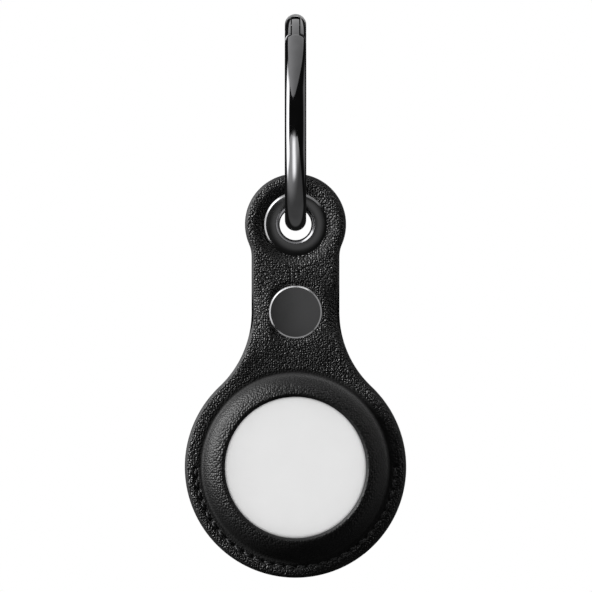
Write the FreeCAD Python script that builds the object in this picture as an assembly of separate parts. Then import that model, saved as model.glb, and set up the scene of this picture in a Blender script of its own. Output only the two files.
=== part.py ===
"""Leather holder for a coin-shaped tracker tag, hung on a spring-gate ring.

Millimetres. X is to the right, -Y is the front and Z is up.
The origin is the inside top of the ring, where the holder hangs from a hook or a strap.
"""
import FreeCAD
import Part
import math
import os

from FreeCAD import Vector

# Tracker tag
tag_diameter = 31.9
tag_thickness = 8.0
tag_edge_radius = 3.2
tag_crown_rise = 0.5
tag_wall = 0.8
inner_play = 0.1
cover_rim_inset = 0.15
cover_gap = 0.1
steel_thickness = 0.35
skirt_wall = 0.5
lip_thickness = 0.6
groove_height = 0.7
groove_depth = 1.0
lug_height = 0.45
lug_length = 0.8
lug_angle = 16.0
lug_count = 3
notch_angle = 20.0
twist_angle = 22.0
cell_margin = 5.95
cell_thickness = 3.2
cell_edge = 0.3
cell_cap_inset = 1.1
cell_cap_height = 0.55
cell_gap = 0.05
cell_side_space = 0.4
compartment_wall = 0.8
contact_space = 0.3
contact_thickness = 0.15
contact_width = 2.5
contact_pad_length = 3.0
contact_inset = 0.5
contact_tip_length = 2.5
contact_angle = 22.0
contact_height = 2.2
contact_spacing_angle = 120.0
chassis_thickness = 0.5
board_thickness = 0.8
board_margin = 3.45
board_wall = 0.6
magnet_diameter = 8.0
magnet_height = 1.7
coil_gap = 0.3
coil_wall = 0.6
coil_height = 1.2
chip_size = 2.6
chip_height = 0.7
chip_count = 6

# Leather
leather = 1.5
pocket_clearance = 0.25
window_lip = 2.4
window_round = 0.4
crease_round = 0.5
flange_width = 3.07
edge_round = 0.9
neck_width = 16.68
neck_pocket_blend = 19.4
neck_head_blend = 5.7
head_step = 1.26
tongue_clearance = 2.29
backing_gap = 0.5
flap_gap = 0.2
fold_rise = 1.2
fold_gap = 0.2

# Seam
stitch_inset = 0.97
stitch_thickness = 0.62
stitch_count = 28
stitch_gap = 0.6
stitch_groove_depth = 0.28
stitch_groove_width = 0.8
seam_angle = 180.0

# Ring and gate
ring_inner_diameter = 33.0
ring_wire = 4.05
gate_pin_angle = 25.0
gate_angle = 75.0
gate_pin_diameter = 1.2
pin_play = 0.05
pin_fit = 0.01
tongue_width = 1.7
fork_gap = 0.15
cheek_reach = 2.5
cheek_radius = 3.0
shoulder_gap = 0.2
tongue_radius = 3.3
cam_offset = 0.55
slot_radius = 4.6
tongue_root = 1.0
lap_length = 1.6
lap_gap = 0.12
plunger_diameter = 1.3
plunger_length = 2.4
plunger_play = 0.05
plunger_gap = 0.05
bore_reach = 9.2
spring_wire = 0.24
spring_turns = 5

# Eyelet
hole_play = 1.95
hang_gap = 0.2
barrel_wall = 0.45
eyelet_flange = 12.0
eyelet_rise = 0.9
eyelet_rim = 0.4
eyelet_roll = 0.8
eyelet_crown = 0.12
washer_thickness = 0.4
lip_width = 1.05
lip_height = 0.45
leather_hole_play = 0.05

# Press stud
cap_diameter = 10.2
cap_rise = 0.95
cap_crown = 0.2
cap_round = 0.4
cap_post_diameter = 2.4
cap_flare = 0.5
cap_flare_height = 0.2
socket_diameter = 8.0
socket_floor = 0.25
socket_height = 1.45
socket_recess = 0.9
socket_bore = 4.7
socket_lip = 0.13
spring_groove = 0.4
recess_play = 0.4
stud_recess = 0.75
stud_base_diameter = 6.8
stud_base_thickness = 0.25
stud_head_diameter = 4.1
stud_neck_diameter = 3.2
stud_head_height = 0.35
stud_length = 1.0
stud_wall = 0.15
snap_wire = 0.36
snap_spring_angle = 300.0
rear_cap_diameter = 8.4
rear_cap_rise = 0.6
rear_cap_round = 0.3
rear_post_diameter = 2.2
rear_post_play = 0.03

# Cuts run past the faces they open by this much
overrun = 2.0

# Derived places
half = 0.5
ring_inner_radius = ring_inner_diameter * half
wire_radius = ring_wire * half
ring_radius = ring_inner_radius + wire_radius
ring_z = -ring_inner_radius
hole_radius = (ring_wire + hole_play) * half
barrel_radius = hole_radius + barrel_wall
flange_radius = eyelet_flange * half
eyelet_z = ring_z - ring_inner_radius + hang_gap - hole_radius

tag_radius = tag_diameter * half
tag_half = tag_thickness * half
shoulder_r = tag_radius - tag_edge_radius
shoulder_y = tag_half - tag_edge_radius - tag_crown_rise
crown_lift = tag_edge_radius + tag_crown_rise
crown_radius = (shoulder_r ** 2 + crown_lift ** 2 - tag_edge_radius ** 2) / (2 * tag_crown_rise)
crown_y = tag_half - crown_radius
crown_end = math.degrees(math.atan2(shoulder_y - crown_y, shoulder_r))

dome_inner = tag_edge_radius + pocket_clearance
dome_outer = dome_inner + leather
dome_top = shoulder_y + dome_outer
window_radius = tag_radius - window_lip
crease_lift = leather + crease_round - shoulder_y
crease_r = shoulder_r + math.sqrt((dome_outer + crease_round) ** 2 - crease_lift ** 2)
pocket_radius = crease_r + flange_width
seam_radius = crease_r + stitch_inset
neck_half = neck_width * half
head_margin = neck_half + head_step - flange_radius
head_radius = flange_radius + head_margin


def blend_rise(circle_radius, blend_radius):
    """Height from a circle's centre to where its concave blend meets the straight neck."""
    return math.sqrt((circle_radius + blend_radius) ** 2 - (neck_half + blend_radius) ** 2)


tongue_length = blend_rise(pocket_radius, neck_pocket_blend)
strap_length = flange_radius + tongue_clearance + neck_half + tongue_length
pocket_z = eyelet_z - strap_length
snap_z = pocket_z + tongue_length
head_blend_z = eyelet_z - blend_rise(head_radius, neck_head_blend)
backing_z = snap_z + neck_half + backing_gap
fold_z = pocket_z + fold_rise

across = Vector(1, 0, 0)
rearward = Vector(0, 1, 0)
upward = Vector(0, 0, 1)


def on_circle(centre, radius, angle):
    """Point of a circle in the (radius, depth) plane of a turned profile."""
    turn = math.radians(angle)
    return (centre[0] + radius * math.cos(turn), centre[1] + radius * math.sin(turn))


def bow(centre, radius, start, end):
    """Arc step of a profile: a middle point and an end point."""
    return (on_circle(centre, radius, (start + end) * half), on_circle(centre, radius, end))


def profile_wire(steps, place):
    """Closed wire from points and arc steps; place turns a 2-D point into a vector."""
    edges = []
    here = steps[0]
    for step in steps[1:] + [steps[0]]:
        if isinstance(step[0], tuple):
            edges.append(Part.Arc(place(here), place(step[0]), place(step[1])).toShape())
            here = step[1]
        else:
            if place(here).distanceToPoint(place(step)) > Part.Precision.confusion():
                edges.append(Part.LineSegment(place(here), place(step)).toShape())
            here = step
    return Part.Wire(edges)


def turned(steps, height, start=0.0, sweep=360.0):
    """Solid turned about the front-to-back axis at a height, from a (radius, depth) profile."""
    centre = Vector(0, 0, height)
    face = Part.Face(profile_wire(steps, lambda p: Vector(p[0], p[1], height)))
    face.rotate(centre, rearward, start)
    return face.revolve(centre, rearward, sweep)


def plug(radius, height, front, rear):
    """Cylinder along Y between two depths."""
    return Part.makeCylinder(radius, rear - front, Vector(0, front, height), rearward)


def slab(low, high):
    """Box between two corners."""
    return Part.makeBox(high.x - low.x, high.y - low.y, high.z - low.z, low)


def front_to_back(shape):
    """Mirror a shape through the middle plane of the leather."""
    return shape.mirror(Vector(0, 0, 0), rearward)


def fillet_at_depth(solid, radius, depth):
    """Round the edges that lie wholly at one depth."""
    near = Part.Precision.confusion()
    edges = [e for e in solid.Edges
             if abs(e.BoundBox.YMin - depth) < near and abs(e.BoundBox.YMax - depth) < near]
    return solid.makeFillet(radius, edges)


def side_tangents(circle_radius, circle_z, blend_radius, direction):
    """Right-hand tangent points of a neck blend: on the circle, mid-blend and on the neck."""
    rise = blend_rise(circle_radius, blend_radius)
    reach = circle_radius + blend_radius
    centre = (neck_half + blend_radius, circle_z + direction * rise)
    on_disc = (circle_radius / reach * centre[0], circle_z + circle_radius / reach * direction * rise)
    on_neck = (neck_half, centre[1])
    middle = ((on_disc[0] + on_neck[0]) * half - centre[0], (on_disc[1] + on_neck[1]) * half - centre[1])
    stretch = blend_radius / math.hypot(middle[0], middle[1])
    return on_disc, (centre[0] + middle[0] * stretch, centre[1] + middle[1] * stretch), on_neck


def mirrored(point):
    """The same point on the left-hand side."""
    return (-point[0], point[1])


def leather_blank(with_head):
    """Flat rear layer of leather, its outer edge rounded: disc, neck and head, or disc and tongue."""
    disc, blend, neck = side_tangents(pocket_radius, pocket_z, neck_pocket_blend, 1)
    steps = [disc, (blend, neck)]
    if with_head:
        crown, curl, throat = side_tangents(head_radius, eyelet_z, neck_head_blend, -1)
        steps += [throat, (curl, crown), ((0, eyelet_z + head_radius), mirrored(crown))]
        steps += [(mirrored(curl), mirrored(throat)), mirrored(neck)]
    else:
        steps += [((0, snap_z + neck_half), mirrored(neck))]
    steps += [(mirrored(blend), mirrored(disc)), ((0, pocket_z - pocket_radius), disc)]
    wire = profile_wire(steps, lambda p: Vector(p[0], 0, p[1]))
    blank = Part.Face(wire).extrude(rearward * leather)
    return fillet_at_depth(blank, edge_round, leather)


def dome_ring():
    """Wet-formed ring of leather over the tag's edge, from the crease to the window, rear side."""
    centre = (shoulder_r, shoulder_y)
    tangent = math.degrees(math.atan2(crease_lift, crease_r - shoulder_r))
    inner_end = math.degrees(math.acos((window_radius - shoulder_r) / dome_inner))
    outer_end = math.degrees(math.acos((window_radius - shoulder_r) / dome_outer))
    rim = on_circle(centre, dome_outer, outer_end)
    steps = [
        (crease_r, 0),
        (crease_r, leather),
        bow((crease_r, leather + crease_round), crease_round, -90, tangent - 180),
        bow(centre, dome_outer, tangent, outer_end),
        on_circle(centre, dome_inner, inner_end),
        bow(centre, dome_inner, inner_end, 0),
        (shoulder_r + dome_inner, 0),
    ]
    return fillet_at_depth(turned(steps, pocket_z), window_round, rim[1])


def formed(blank):
    """Blank with the formed dome in place of its flat middle."""
    flat = blank.cut(plug(crease_r, pocket_z, -overrun, leather + overrun))
    return flat.fuse(dome_ring()).removeSplitter()


def seam_groove():
    """Stitching groove in the rear face, round the lower half of the pocket."""
    low = leather - stitch_groove_depth
    inner = seam_radius - stitch_groove_width * half
    outer = seam_radius + stitch_groove_width * half
    steps = [(inner, low), (outer, low), (outer, leather + overrun), (inner, leather + overrun)]
    return turned(steps, pocket_z, 0.0, seam_angle)


def front_panel():
    """Front leather: head, neck and domed pocket face with its window."""
    panel = front_to_back(formed(leather_blank(True)).cut(seam_groove()))
    panel = panel.cut(plug(barrel_radius + leather_hole_play, eyelet_z, -leather - overrun, overrun))
    post_hole = cap_post_diameter * half + leather_hole_play
    panel = panel.cut(plug(post_hole, snap_z, -leather - overrun, overrun))
    return panel.cut(plug(socket_diameter * half + recess_play, snap_z, -socket_recess, overrun))


def head_backing():
    """Leather patch behind the head, clamped by the eyelet."""
    reach = head_radius + overrun
    blank = leather_blank(True)
    keep = slab(Vector(-reach, -overrun, backing_z), Vector(reach, leather + overrun, eyelet_z + reach))
    patch = blank.common(keep)
    return patch.cut(plug(barrel_radius + leather_hole_play, eyelet_z, -overrun, leather + overrun))


def rear_pocket():
    """Stitched lower half of the leather back."""
    reach = pocket_radius + overrun
    low = Vector(-reach, -overrun, pocket_z - reach)
    keep = slab(low, Vector(reach, dome_top + overrun, fold_z - fold_gap * half))
    return formed(leather_blank(False)).common(keep).cut(seam_groove())


def rear_flap():
    """Upper half of the leather back: half the dome and the tongue that snaps to the neck."""
    reach = pocket_radius + overrun
    low = Vector(-reach, flap_gap, fold_z + fold_gap * half)
    keep = slab(low, Vector(reach, dome_top + overrun, snap_z + neck_half + overrun))
    flap = formed(leather_blank(False)).common(keep)
    recess = socket_diameter * half + recess_play
    flap = flap.cut(plug(recess, snap_z, -overrun, flap_gap + stud_recess))
    post_hole = rear_post_diameter * half + leather_hole_play
    return flap.cut(plug(post_hole, snap_z, -overrun, leather + overrun))


def seam_thread():
    """Row of stitches in the groove, on the front and the rear face."""
    radius = stitch_thickness * half
    floor = leather - stitch_groove_depth
    pitch_angle = seam_angle / stitch_count
    length = math.radians(pitch_angle) * seam_radius - stitch_gap
    steps = [(-radius, floor), ((0, floor + radius), (radius, floor))]
    wire = profile_wire(steps, lambda p: Vector(seam_radius + p[0], p[1], pocket_z - length * half))
    stitch = Part.Face(wire).extrude(upward * length)
    stitches = []
    for number in range(stitch_count):
        rear = stitch.copy()
        rear.rotate(Vector(0, 0, pocket_z), rearward, pitch_angle * (number + half))
        stitches += [rear, front_to_back(rear)]
    return Part.makeCompound(stitches)


def eyelet():
    """Eyelet with a broad front flange, its barrel rolled over the rear washer."""
    seat = -leather
    roll_r = hole_radius + eyelet_roll
    top = seat - eyelet_rise
    rim_top = seat - eyelet_rim
    rear = leather + washer_thickness
    crown_mid = ((roll_r + flange_radius) * half, (top + rim_top) * half - eyelet_crown)
    bend = 1 - math.sqrt(half)
    roll_mid = (hole_radius + eyelet_roll * bend, top + eyelet_roll * bend)
    lip_mid = (hole_radius + lip_width * bend, rear + lip_height - lip_height * bend)
    steps = [
        (hole_radius, top + eyelet_roll),
        (roll_mid, (roll_r, top)),
        (crown_mid, (flange_radius, rim_top)),
        (flange_radius, seat),
        (barrel_radius, seat),
        (barrel_radius, rear),
        (hole_radius + lip_width, rear),
        (hole_radius + lip_width, rear + lip_height * half),
        (lip_mid, (hole_radius, leather)),
    ]
    return turned(steps, eyelet_z)


def eyelet_washer():
    """Flat washer behind the head, with a rounded outer edge."""
    inner = barrel_radius + leather_hole_play
    rear = leather + washer_thickness
    steps = [(inner, leather), (flange_radius, leather), (flange_radius, rear), (inner, rear)]
    washer = turned(steps, eyelet_z)
    rim = [e for e in washer.Edges
           if abs(e.BoundBox.XMax - flange_radius) < lip_height * half and e.BoundBox.YMin > leather]
    return washer.makeFillet(washer_thickness * half, rim)


def rivet_cap(diameter, rise, crown, rounding, post_diameter, post_length):
    """Low domed cap on a leather face, with its post through the leather, rear side."""
    radius = diameter * half
    post = post_diameter * half
    corner = (radius - rounding, leather + rise - crown - rounding)
    sag = (radius - rounding) * half
    middle = (sag, leather + rise - crown * half * half)
    top = (0, leather + rise)
    return [
        top,
        (middle, (radius - rounding, corner[1] + rounding)),
        bow(corner, rounding, 90, 0),
        (radius, leather),
        (post, leather),
        (post, leather - post_length),
    ]


def snap_cap():
    """Front cap of the press stud; its post is flared over the socket's floor."""
    floor = socket_recess - socket_floor
    post_length = leather - floor
    flare = cap_post_diameter * half + cap_flare
    steps = rivet_cap(cap_diameter, cap_rise, cap_crown, cap_round, cap_post_diameter, post_length)
    steps += [(flare, floor), (flare, floor - cap_flare_height), (0, floor - cap_flare_height)]
    return front_to_back(turned(steps, snap_z))


def snap_socket():
    """Socket of the press stud in the front leather's inner recess."""
    seat = -socket_recess
    floor = seat + socket_floor
    end = seat + socket_height
    bore = socket_bore * half
    groove = bore + spring_groove
    low = end - socket_lip - snap_wire - leather_hole_play
    post = cap_post_diameter * half + leather_hole_play
    steps = [
        (post, seat),
        (socket_diameter * half, seat),
        (socket_diameter * half, end),
        (bore, end),
        (bore, end - socket_lip),
        (groove, end - socket_lip),
        (groove, low),
        (bore, low),
        (bore, floor),
        (post, floor),
    ]
    return turned(steps, snap_z)


def snap_spring():
    """Split wire ring in the socket's groove, which grips the stud's neck."""
    radius = snap_wire * half
    depth = socket_height - socket_recess - socket_lip - radius - leather_hole_play * half
    middle = (socket_bore * half, depth)
    steps = [on_circle(middle, radius, 0), bow(middle, radius, 0, 180), bow(middle, radius, 180, 360)]
    return turned(steps, snap_z, 0.0, snap_spring_angle)


def snap_stud():
    """Stud of the press stud, hollow for the rear rivet's post."""
    seat = flap_gap + stud_recess
    base = seat - stud_base_thickness
    tip = base - stud_length
    head = stud_head_diameter * half
    neck = stud_neck_diameter * half
    bore = rear_post_diameter * half + rear_post_play
    steps = [
        (bore, seat),
        (stud_base_diameter * half, seat),
        (stud_base_diameter * half, base),
        (neck, base),
        (neck, tip + stud_head_height),
        ((head, tip + stud_head_height * half), (neck, tip)),
        (0, tip),
        (0, tip + stud_wall),
        (bore, tip + stud_wall),
    ]
    return turned(steps, snap_z)


def snap_rear_cap():
    """Rear rivet cap on the flap, its post inside the stud."""
    tip = flap_gap + stud_recess - stud_base_thickness - stud_length + stud_wall + rear_post_play
    post_length = leather - tip
    steps = rivet_cap(rear_cap_diameter, rear_cap_rise, cap_crown, rear_cap_round,
                      rear_post_diameter, post_length)
    steps += [(0, tip)]
    return turned(steps, snap_z)


def on_ring(angle):
    """Point of the ring's centre line, at an angle from the top towards the front."""
    turn = math.radians(angle)
    return Vector(0, -ring_radius * math.sin(turn), ring_z + ring_radius * math.cos(turn))


def ring_arc(start, end):
    """Stretch of round ring wire between two angles from the top towards the front."""
    centre = Vector(0, 0, ring_z)
    circle = Part.Circle(Vector(0, 0, ring_z + ring_radius), rearward, wire_radius)
    face = Part.Face(Part.Wire(circle.toShape()))
    face.rotate(centre, across, start)
    return face.revolve(centre, across, end - start)


def cross_bar(centre, radius, width):
    """Cylinder along X, centred on the ring's plane."""
    return Part.makeCylinder(radius, width, centre - across * width * half, across)


gate_end_angle = gate_pin_angle - gate_angle
pin_point = on_ring(gate_pin_angle)
gate_chord = 2 * ring_radius * math.sin(math.radians(gate_angle) * half)
cut_width = ring_wire + overrun
spare_angle = 20.0
bore_turn = 2 * math.degrees(math.asin(bore_reach * half / ring_radius))
bore_way = (on_ring(gate_pin_angle - bore_turn) - pin_point).normalize()
cam_point = pin_point + Vector(0, bore_way.z, -bore_way.y) * cam_offset
pin_radius = gate_pin_diameter * half
plunger_radius = plunger_diameter * half
plunger_seat = math.sqrt((tongue_radius + plunger_radius) ** 2 - cam_offset ** 2) + plunger_gap


def gate_region(growth):
    """Space that the gate takes at its closing end: a half lap that lets it swing inwards only."""
    near = cross_bar(pin_point, gate_chord - lap_length * half + growth, cut_width)
    far = cross_bar(pin_point, gate_chord + lap_length * half + growth, cut_width)
    inside = cross_bar(Vector(0, 0, ring_z), ring_radius + growth, cut_width)
    return near.fuse(far.common(inside))


def ring_body():
    """Open ring of round wire, with a hinge tongue in front and a half-lap nose behind."""
    body = ring_arc(gate_pin_angle, 360 + gate_end_angle + spare_angle)
    nose = ring_arc(gate_end_angle - spare_angle, gate_end_angle + spare_angle)
    body = body.cut(nose.common(gate_region(lap_gap * half)))
    shoulder = cheek_radius + shoulder_gap
    body = body.cut(cross_bar(pin_point, shoulder, cut_width))
    tip = ring_arc(gate_pin_angle - spare_angle, gate_pin_angle)
    tip = tip.common(cross_bar(cam_point, tongue_radius, tongue_width))
    root = ring_arc(gate_pin_angle, gate_pin_angle + spare_angle)
    root = root.common(cross_bar(pin_point, shoulder + tongue_root, tongue_width))
    body = body.fuse([tip, root]).removeSplitter()
    return body.cut(cross_bar(pin_point, pin_radius + pin_play, cut_width))


def gate_arm():
    """Curved gate: forked at its hinge, bored for the spring, half-lapped at its closing end."""
    arm = ring_arc(gate_end_angle - spare_angle, gate_pin_angle).common(gate_region(-lap_gap * half))
    cheek_angle = math.degrees(cheek_reach / ring_radius)
    cheeks = ring_arc(gate_pin_angle, gate_pin_angle + cheek_angle)
    arm = arm.fuse(cheeks.common(cross_bar(pin_point, cheek_radius, cut_width))).removeSplitter()
    arm = arm.cut(cross_bar(pin_point, slot_radius, tongue_width + 2 * fork_gap))
    arm = arm.cut(cross_bar(pin_point, pin_radius + pin_fit, cut_width))
    bore = Part.makeCylinder(plunger_radius + plunger_play, bore_reach, pin_point, bore_way)
    return arm.cut(bore)


def gate_pin():
    """Hinge pin, flush with the fork's cheeks."""
    return cross_bar(pin_point, pin_radius, 2 * math.sqrt(wire_radius ** 2 - pin_radius ** 2))


def gate_plunger():
    """Round-ended plunger that bears on the eccentric tip of the tongue."""
    tip = Part.makeSphere(plunger_radius, pin_point + bore_way * plunger_seat)
    length = plunger_length - plunger_radius
    stem = Part.makeCylinder(plunger_radius, length, pin_point + bore_way * plunger_seat, bore_way)
    return stem.fuse(tip).removeSplitter()


def gate_spring():
    """Coil spring between the plunger and the end of its bore."""
    radius = spring_wire * half
    coil = plunger_radius - radius
    low = plunger_seat + plunger_length - plunger_radius + radius + pin_fit
    high = bore_reach - radius - pin_fit
    rise = (high - low) / spring_turns
    side = across.cross(bore_way)
    edges = []

    def on_coil(turns):
        turn = math.radians(360 * turns)
        centre = pin_point + bore_way * (low + rise * turns)
        return centre + across * (coil * math.cos(turn)) + side * (coil * math.sin(turn))

    for number in range(2 * spring_turns):
        start = number * half
        points = [on_coil(start), on_coil(start + half * half), on_coil(start + half)]
        edges.append(Part.Arc(*points).toShape())
    path = Part.Wire(edges)
    section = Part.Wire(Part.Circle(on_coil(0), edges[0].tangentAt(edges[0].FirstParameter), radius).toShape())
    return path.makePipeShell([section], True, False)


def tag_cover():
    """White front shell of the tag, a shallow domed cup."""
    centre = (shoulder_r, shoulder_y)
    crown = (0, crown_y)
    inner = tag_radius - tag_wall
    steps = [
        (0, tag_half),
        bow(crown, crown_radius, 90, crown_end),
        bow(centre, tag_edge_radius, crown_end, 0),
        (tag_radius, -shoulder_y),
        (inner, -shoulder_y),
        (inner, shoulder_y),
        bow(centre, tag_edge_radius - tag_wall, 0, crown_end),
        bow(crown, crown_radius - tag_wall, crown_end, 90),
    ]
    return front_to_back(turned(steps, pocket_z))


cover_radius = shoulder_r - cover_rim_inset
cell_diameter = tag_diameter - 2 * cell_margin
cell_radius = cell_diameter * half
board_diameter = tag_diameter - 2 * board_margin
board_radius = board_diameter * half
contact_leaf_length = cell_radius - contact_inset + contact_tip_length
cell_rear = tag_half - tag_crown_rise - steel_thickness - cell_gap
cell_front = cell_rear - cell_thickness
chassis_rear = cell_front - contact_space
chassis_front = chassis_rear - chassis_thickness
board_front = chassis_front - board_thickness
compartment_radius = cell_radius + cell_side_space
lip_top = shoulder_y + tag_edge_radius
groove_top = lip_top - lip_thickness
groove_low = groove_top - groove_height
lug_low = groove_low + (groove_height - lug_height) * half


def tag_base():
    """White rear body of the tag: spigot, battery compartment and bayonet groove."""
    centre = (shoulder_r, shoulder_y)
    mouth = cover_radius + cover_gap
    mouth_angle = math.degrees(math.acos((mouth - shoulder_r) / tag_edge_radius))
    spigot = tag_radius - tag_wall - inner_play
    channel_top = groove_low - tag_wall
    steps = [
        (spigot, chassis_rear),
        (spigot, shoulder_y),
        (tag_radius, shoulder_y),
        bow(centre, tag_edge_radius, 0, mouth_angle),
        (mouth, groove_top),
        (mouth + groove_depth, groove_top),
        (mouth + groove_depth, groove_low),
        (compartment_radius, groove_low),
        (compartment_radius, chassis_rear),
        (compartment_radius + compartment_wall, chassis_rear),
        (compartment_radius + compartment_wall, channel_top),
        (spigot - compartment_wall, channel_top),
        (spigot - compartment_wall, chassis_rear),
    ]
    base = turned(steps, pocket_z)
    notch = [(mouth - cover_gap, groove_low + inner_play), (mouth + groove_depth, groove_low + inner_play),
             (mouth + groove_depth, tag_half), (mouth - cover_gap, tag_half)]
    for number in range(lug_count):
        start = 360 / lug_count * number + twist_angle - notch_angle * half
        base = base.cut(turned(notch, pocket_z, start, notch_angle))
    return base


def battery_cover():
    """Steel twist-off cover with three bayonet lugs."""
    crown = (0, crown_y)
    skirt = cover_radius - skirt_wall
    rim_angle = math.degrees(math.acos(cover_radius / crown_radius))
    under_radius = crown_radius - steel_thickness
    under_angle = math.degrees(math.acos(skirt / under_radius))
    steps = [
        (0, tag_half),
        bow(crown, crown_radius, 90, rim_angle),
        (cover_radius, lug_low),
        (skirt, lug_low),
        on_circle(crown, under_radius, under_angle),
        bow(crown, under_radius, under_angle, 90),
    ]
    cover = turned(steps, pocket_z)
    lug = [(skirt + cover_gap, lug_low), (cover_radius + lug_length, lug_low),
           (cover_radius + lug_length, lug_low + lug_height), (skirt + cover_gap, lug_low + lug_height)]
    for number in range(lug_count):
        start = 360 / lug_count * number - lug_angle * half
        cover = cover.fuse(turned(lug, pocket_z, start, lug_angle))
    return cover.removeSplitter()


def tag_chassis():
    """Carrier plate between the cell and the circuit board, with a rim round the board."""
    outer = tag_radius - tag_wall - 2 * inner_play
    wall_in = board_radius + inner_play
    wall_out = wall_in + board_wall
    reach = chassis_front - board_thickness
    step_out = shoulder_r + math.sqrt((tag_edge_radius - tag_wall) ** 2 - (chassis_front + shoulder_y) ** 2)
    edge = min(outer, step_out - inner_play)
    steps = [
        (0, chassis_rear),
        (edge, chassis_rear),
        (edge, chassis_front),
        (wall_out, chassis_front),
        (wall_out, reach),
        (wall_in, reach),
        (wall_in, chassis_front),
        (0, chassis_front),
    ]
    return turned(steps, pocket_z)


def circuit_board():
    """Ring-shaped board with a few chips on its front face."""
    inner = magnet_diameter * half + coil_gap + coil_wall + coil_gap
    steps = [(inner, board_front), (board_radius, board_front), (board_radius, chassis_front), (inner, chassis_front)]
    board = turned(steps, pocket_z)
    middle = (inner + board_radius) * half
    for number in range(chip_count):
        low = Vector(middle - chip_size * half, board_front - chip_height, pocket_z - chip_size * half)
        chip = slab(low, low + Vector(chip_size, chip_height, chip_size))
        chip.rotate(Vector(0, 0, pocket_z), rearward, 360 / chip_count * number)
        board = board.fuse(chip)
    return board.removeSplitter()


def speaker_magnet():
    """Sounder magnet on the middle of the carrier plate."""
    return plug(magnet_diameter * half, pocket_z, chassis_front - magnet_height, chassis_front)


def voice_coil():
    """Sounder coil, bonded to the inside of the front shell."""
    inner = magnet_diameter * half + coil_gap
    outer = inner + coil_wall
    sag = outer ** 2 / (2 * (crown_radius - tag_wall))
    front = -tag_half + tag_wall + sag + pin_play
    steps = [(inner, front), (outer, front), (outer, front + coil_height), (inner, front + coil_height)]
    return turned(steps, pocket_z)


def coin_cell():
    """Coin cell: wide can to the rear, smaller cap to the front."""
    cap = cell_radius - cell_cap_inset
    step = cell_front + cell_cap_height
    steps = [
        (0, cell_front),
        (cap - cell_edge, cell_front),
        (cap, cell_front + cell_edge),
        (cap, step),
        (cell_radius - cell_edge, step),
        (cell_radius, step + cell_edge),
        (cell_radius, cell_rear - cell_edge),
        (cell_radius - cell_edge, cell_rear),
        (0, cell_rear),
    ]
    return turned(steps, pocket_z)


def contact_negative():
    """Bent leaf from the carrier plate to the middle of the cell."""
    rise = contact_space - contact_thickness - cell_gap * half
    pad = contact_tip_length - contact_leaf_length
    ends = [pad, pad + contact_pad_length, -contact_tip_length, contact_tip_length]
    lower = list(zip(ends, [chassis_rear, chassis_rear, chassis_rear + rise, chassis_rear + rise]))
    upper = [(x, y + contact_thickness) for x, y in reversed(lower)]
    wire = profile_wire(lower + upper, lambda p: Vector(p[0], p[1], pocket_z - contact_width * half))
    return Part.Face(wire).extrude(upward * contact_width)


def contacts_positive():
    """Two upright side contacts beside the cell."""
    inner = cell_radius + (cell_side_space - contact_thickness) * half
    outer = inner + contact_thickness
    top = chassis_rear + contact_height
    steps = [(inner, chassis_rear), (outer, chassis_rear), (outer, top), (inner, top)]
    start = -contact_angle * half
    pair = [turned(steps, pocket_z, start, contact_angle),
            turned(steps, pocket_z, start + contact_spacing_angle, contact_angle)]
    return Part.makeCompound(pair)


PIECES = [
    front_panel, head_backing, rear_pocket, rear_flap, seam_thread,
    eyelet, eyelet_washer,
    snap_cap, snap_socket, snap_spring, snap_stud, snap_rear_cap,
    ring_body, gate_arm, gate_pin, gate_plunger, gate_spring,
    tag_cover, tag_base, tag_chassis, circuit_board, speaker_magnet, voice_coil,
    contact_negative, contacts_positive, coin_cell, battery_cover,
]


def main():
    """Build every piece and write it under its own name."""
    os.makedirs("parts", exist_ok=True)
    for piece in PIECES:
        shape = piece()
        box = shape.BoundBox
        print(f"{piece.__name__}: valid {shape.isValid()}, solids {len(shape.Solids)}, "
              f"volume {shape.Volume:.2f}, z {box.ZMin:.2f} to {box.ZMax:.2f}, y {box.YMin:.2f} to {box.YMax:.2f}")
        shape.exportStep(f"parts/{piece.__name__}.step")


main()
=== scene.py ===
"""Looks of a leather tracker tag holder on a spring-gate ring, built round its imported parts."""
import math

import bpy
import numpy as np
from bpy.props import FloatProperty, FloatVectorProperty, IntProperty, PointerProperty
from bpy.types import Operator, Panel, PropertyGroup
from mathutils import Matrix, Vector
from mathutils.kdtree import KDTree


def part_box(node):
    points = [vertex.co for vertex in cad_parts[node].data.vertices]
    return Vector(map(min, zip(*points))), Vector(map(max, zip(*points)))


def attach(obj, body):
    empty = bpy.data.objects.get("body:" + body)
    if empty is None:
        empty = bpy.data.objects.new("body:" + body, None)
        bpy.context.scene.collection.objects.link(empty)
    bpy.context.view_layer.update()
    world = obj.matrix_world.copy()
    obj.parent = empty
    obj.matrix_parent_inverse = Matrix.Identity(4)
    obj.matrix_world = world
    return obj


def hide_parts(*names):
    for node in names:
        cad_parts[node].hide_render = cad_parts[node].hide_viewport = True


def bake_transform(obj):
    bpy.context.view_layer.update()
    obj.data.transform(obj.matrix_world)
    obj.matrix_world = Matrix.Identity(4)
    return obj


bl_info = {
    "name": "Tracker Tag Holder",
    "version": (1, 0, 0),
    "blender": (4, 5, 0),
    "location": "3D View > Sidebar > Tag Holder",
    "description": "Builds the leather, metal and plastic of a tracker tag holder round its packed parts",
    "category": "Add Mesh",
}

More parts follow.
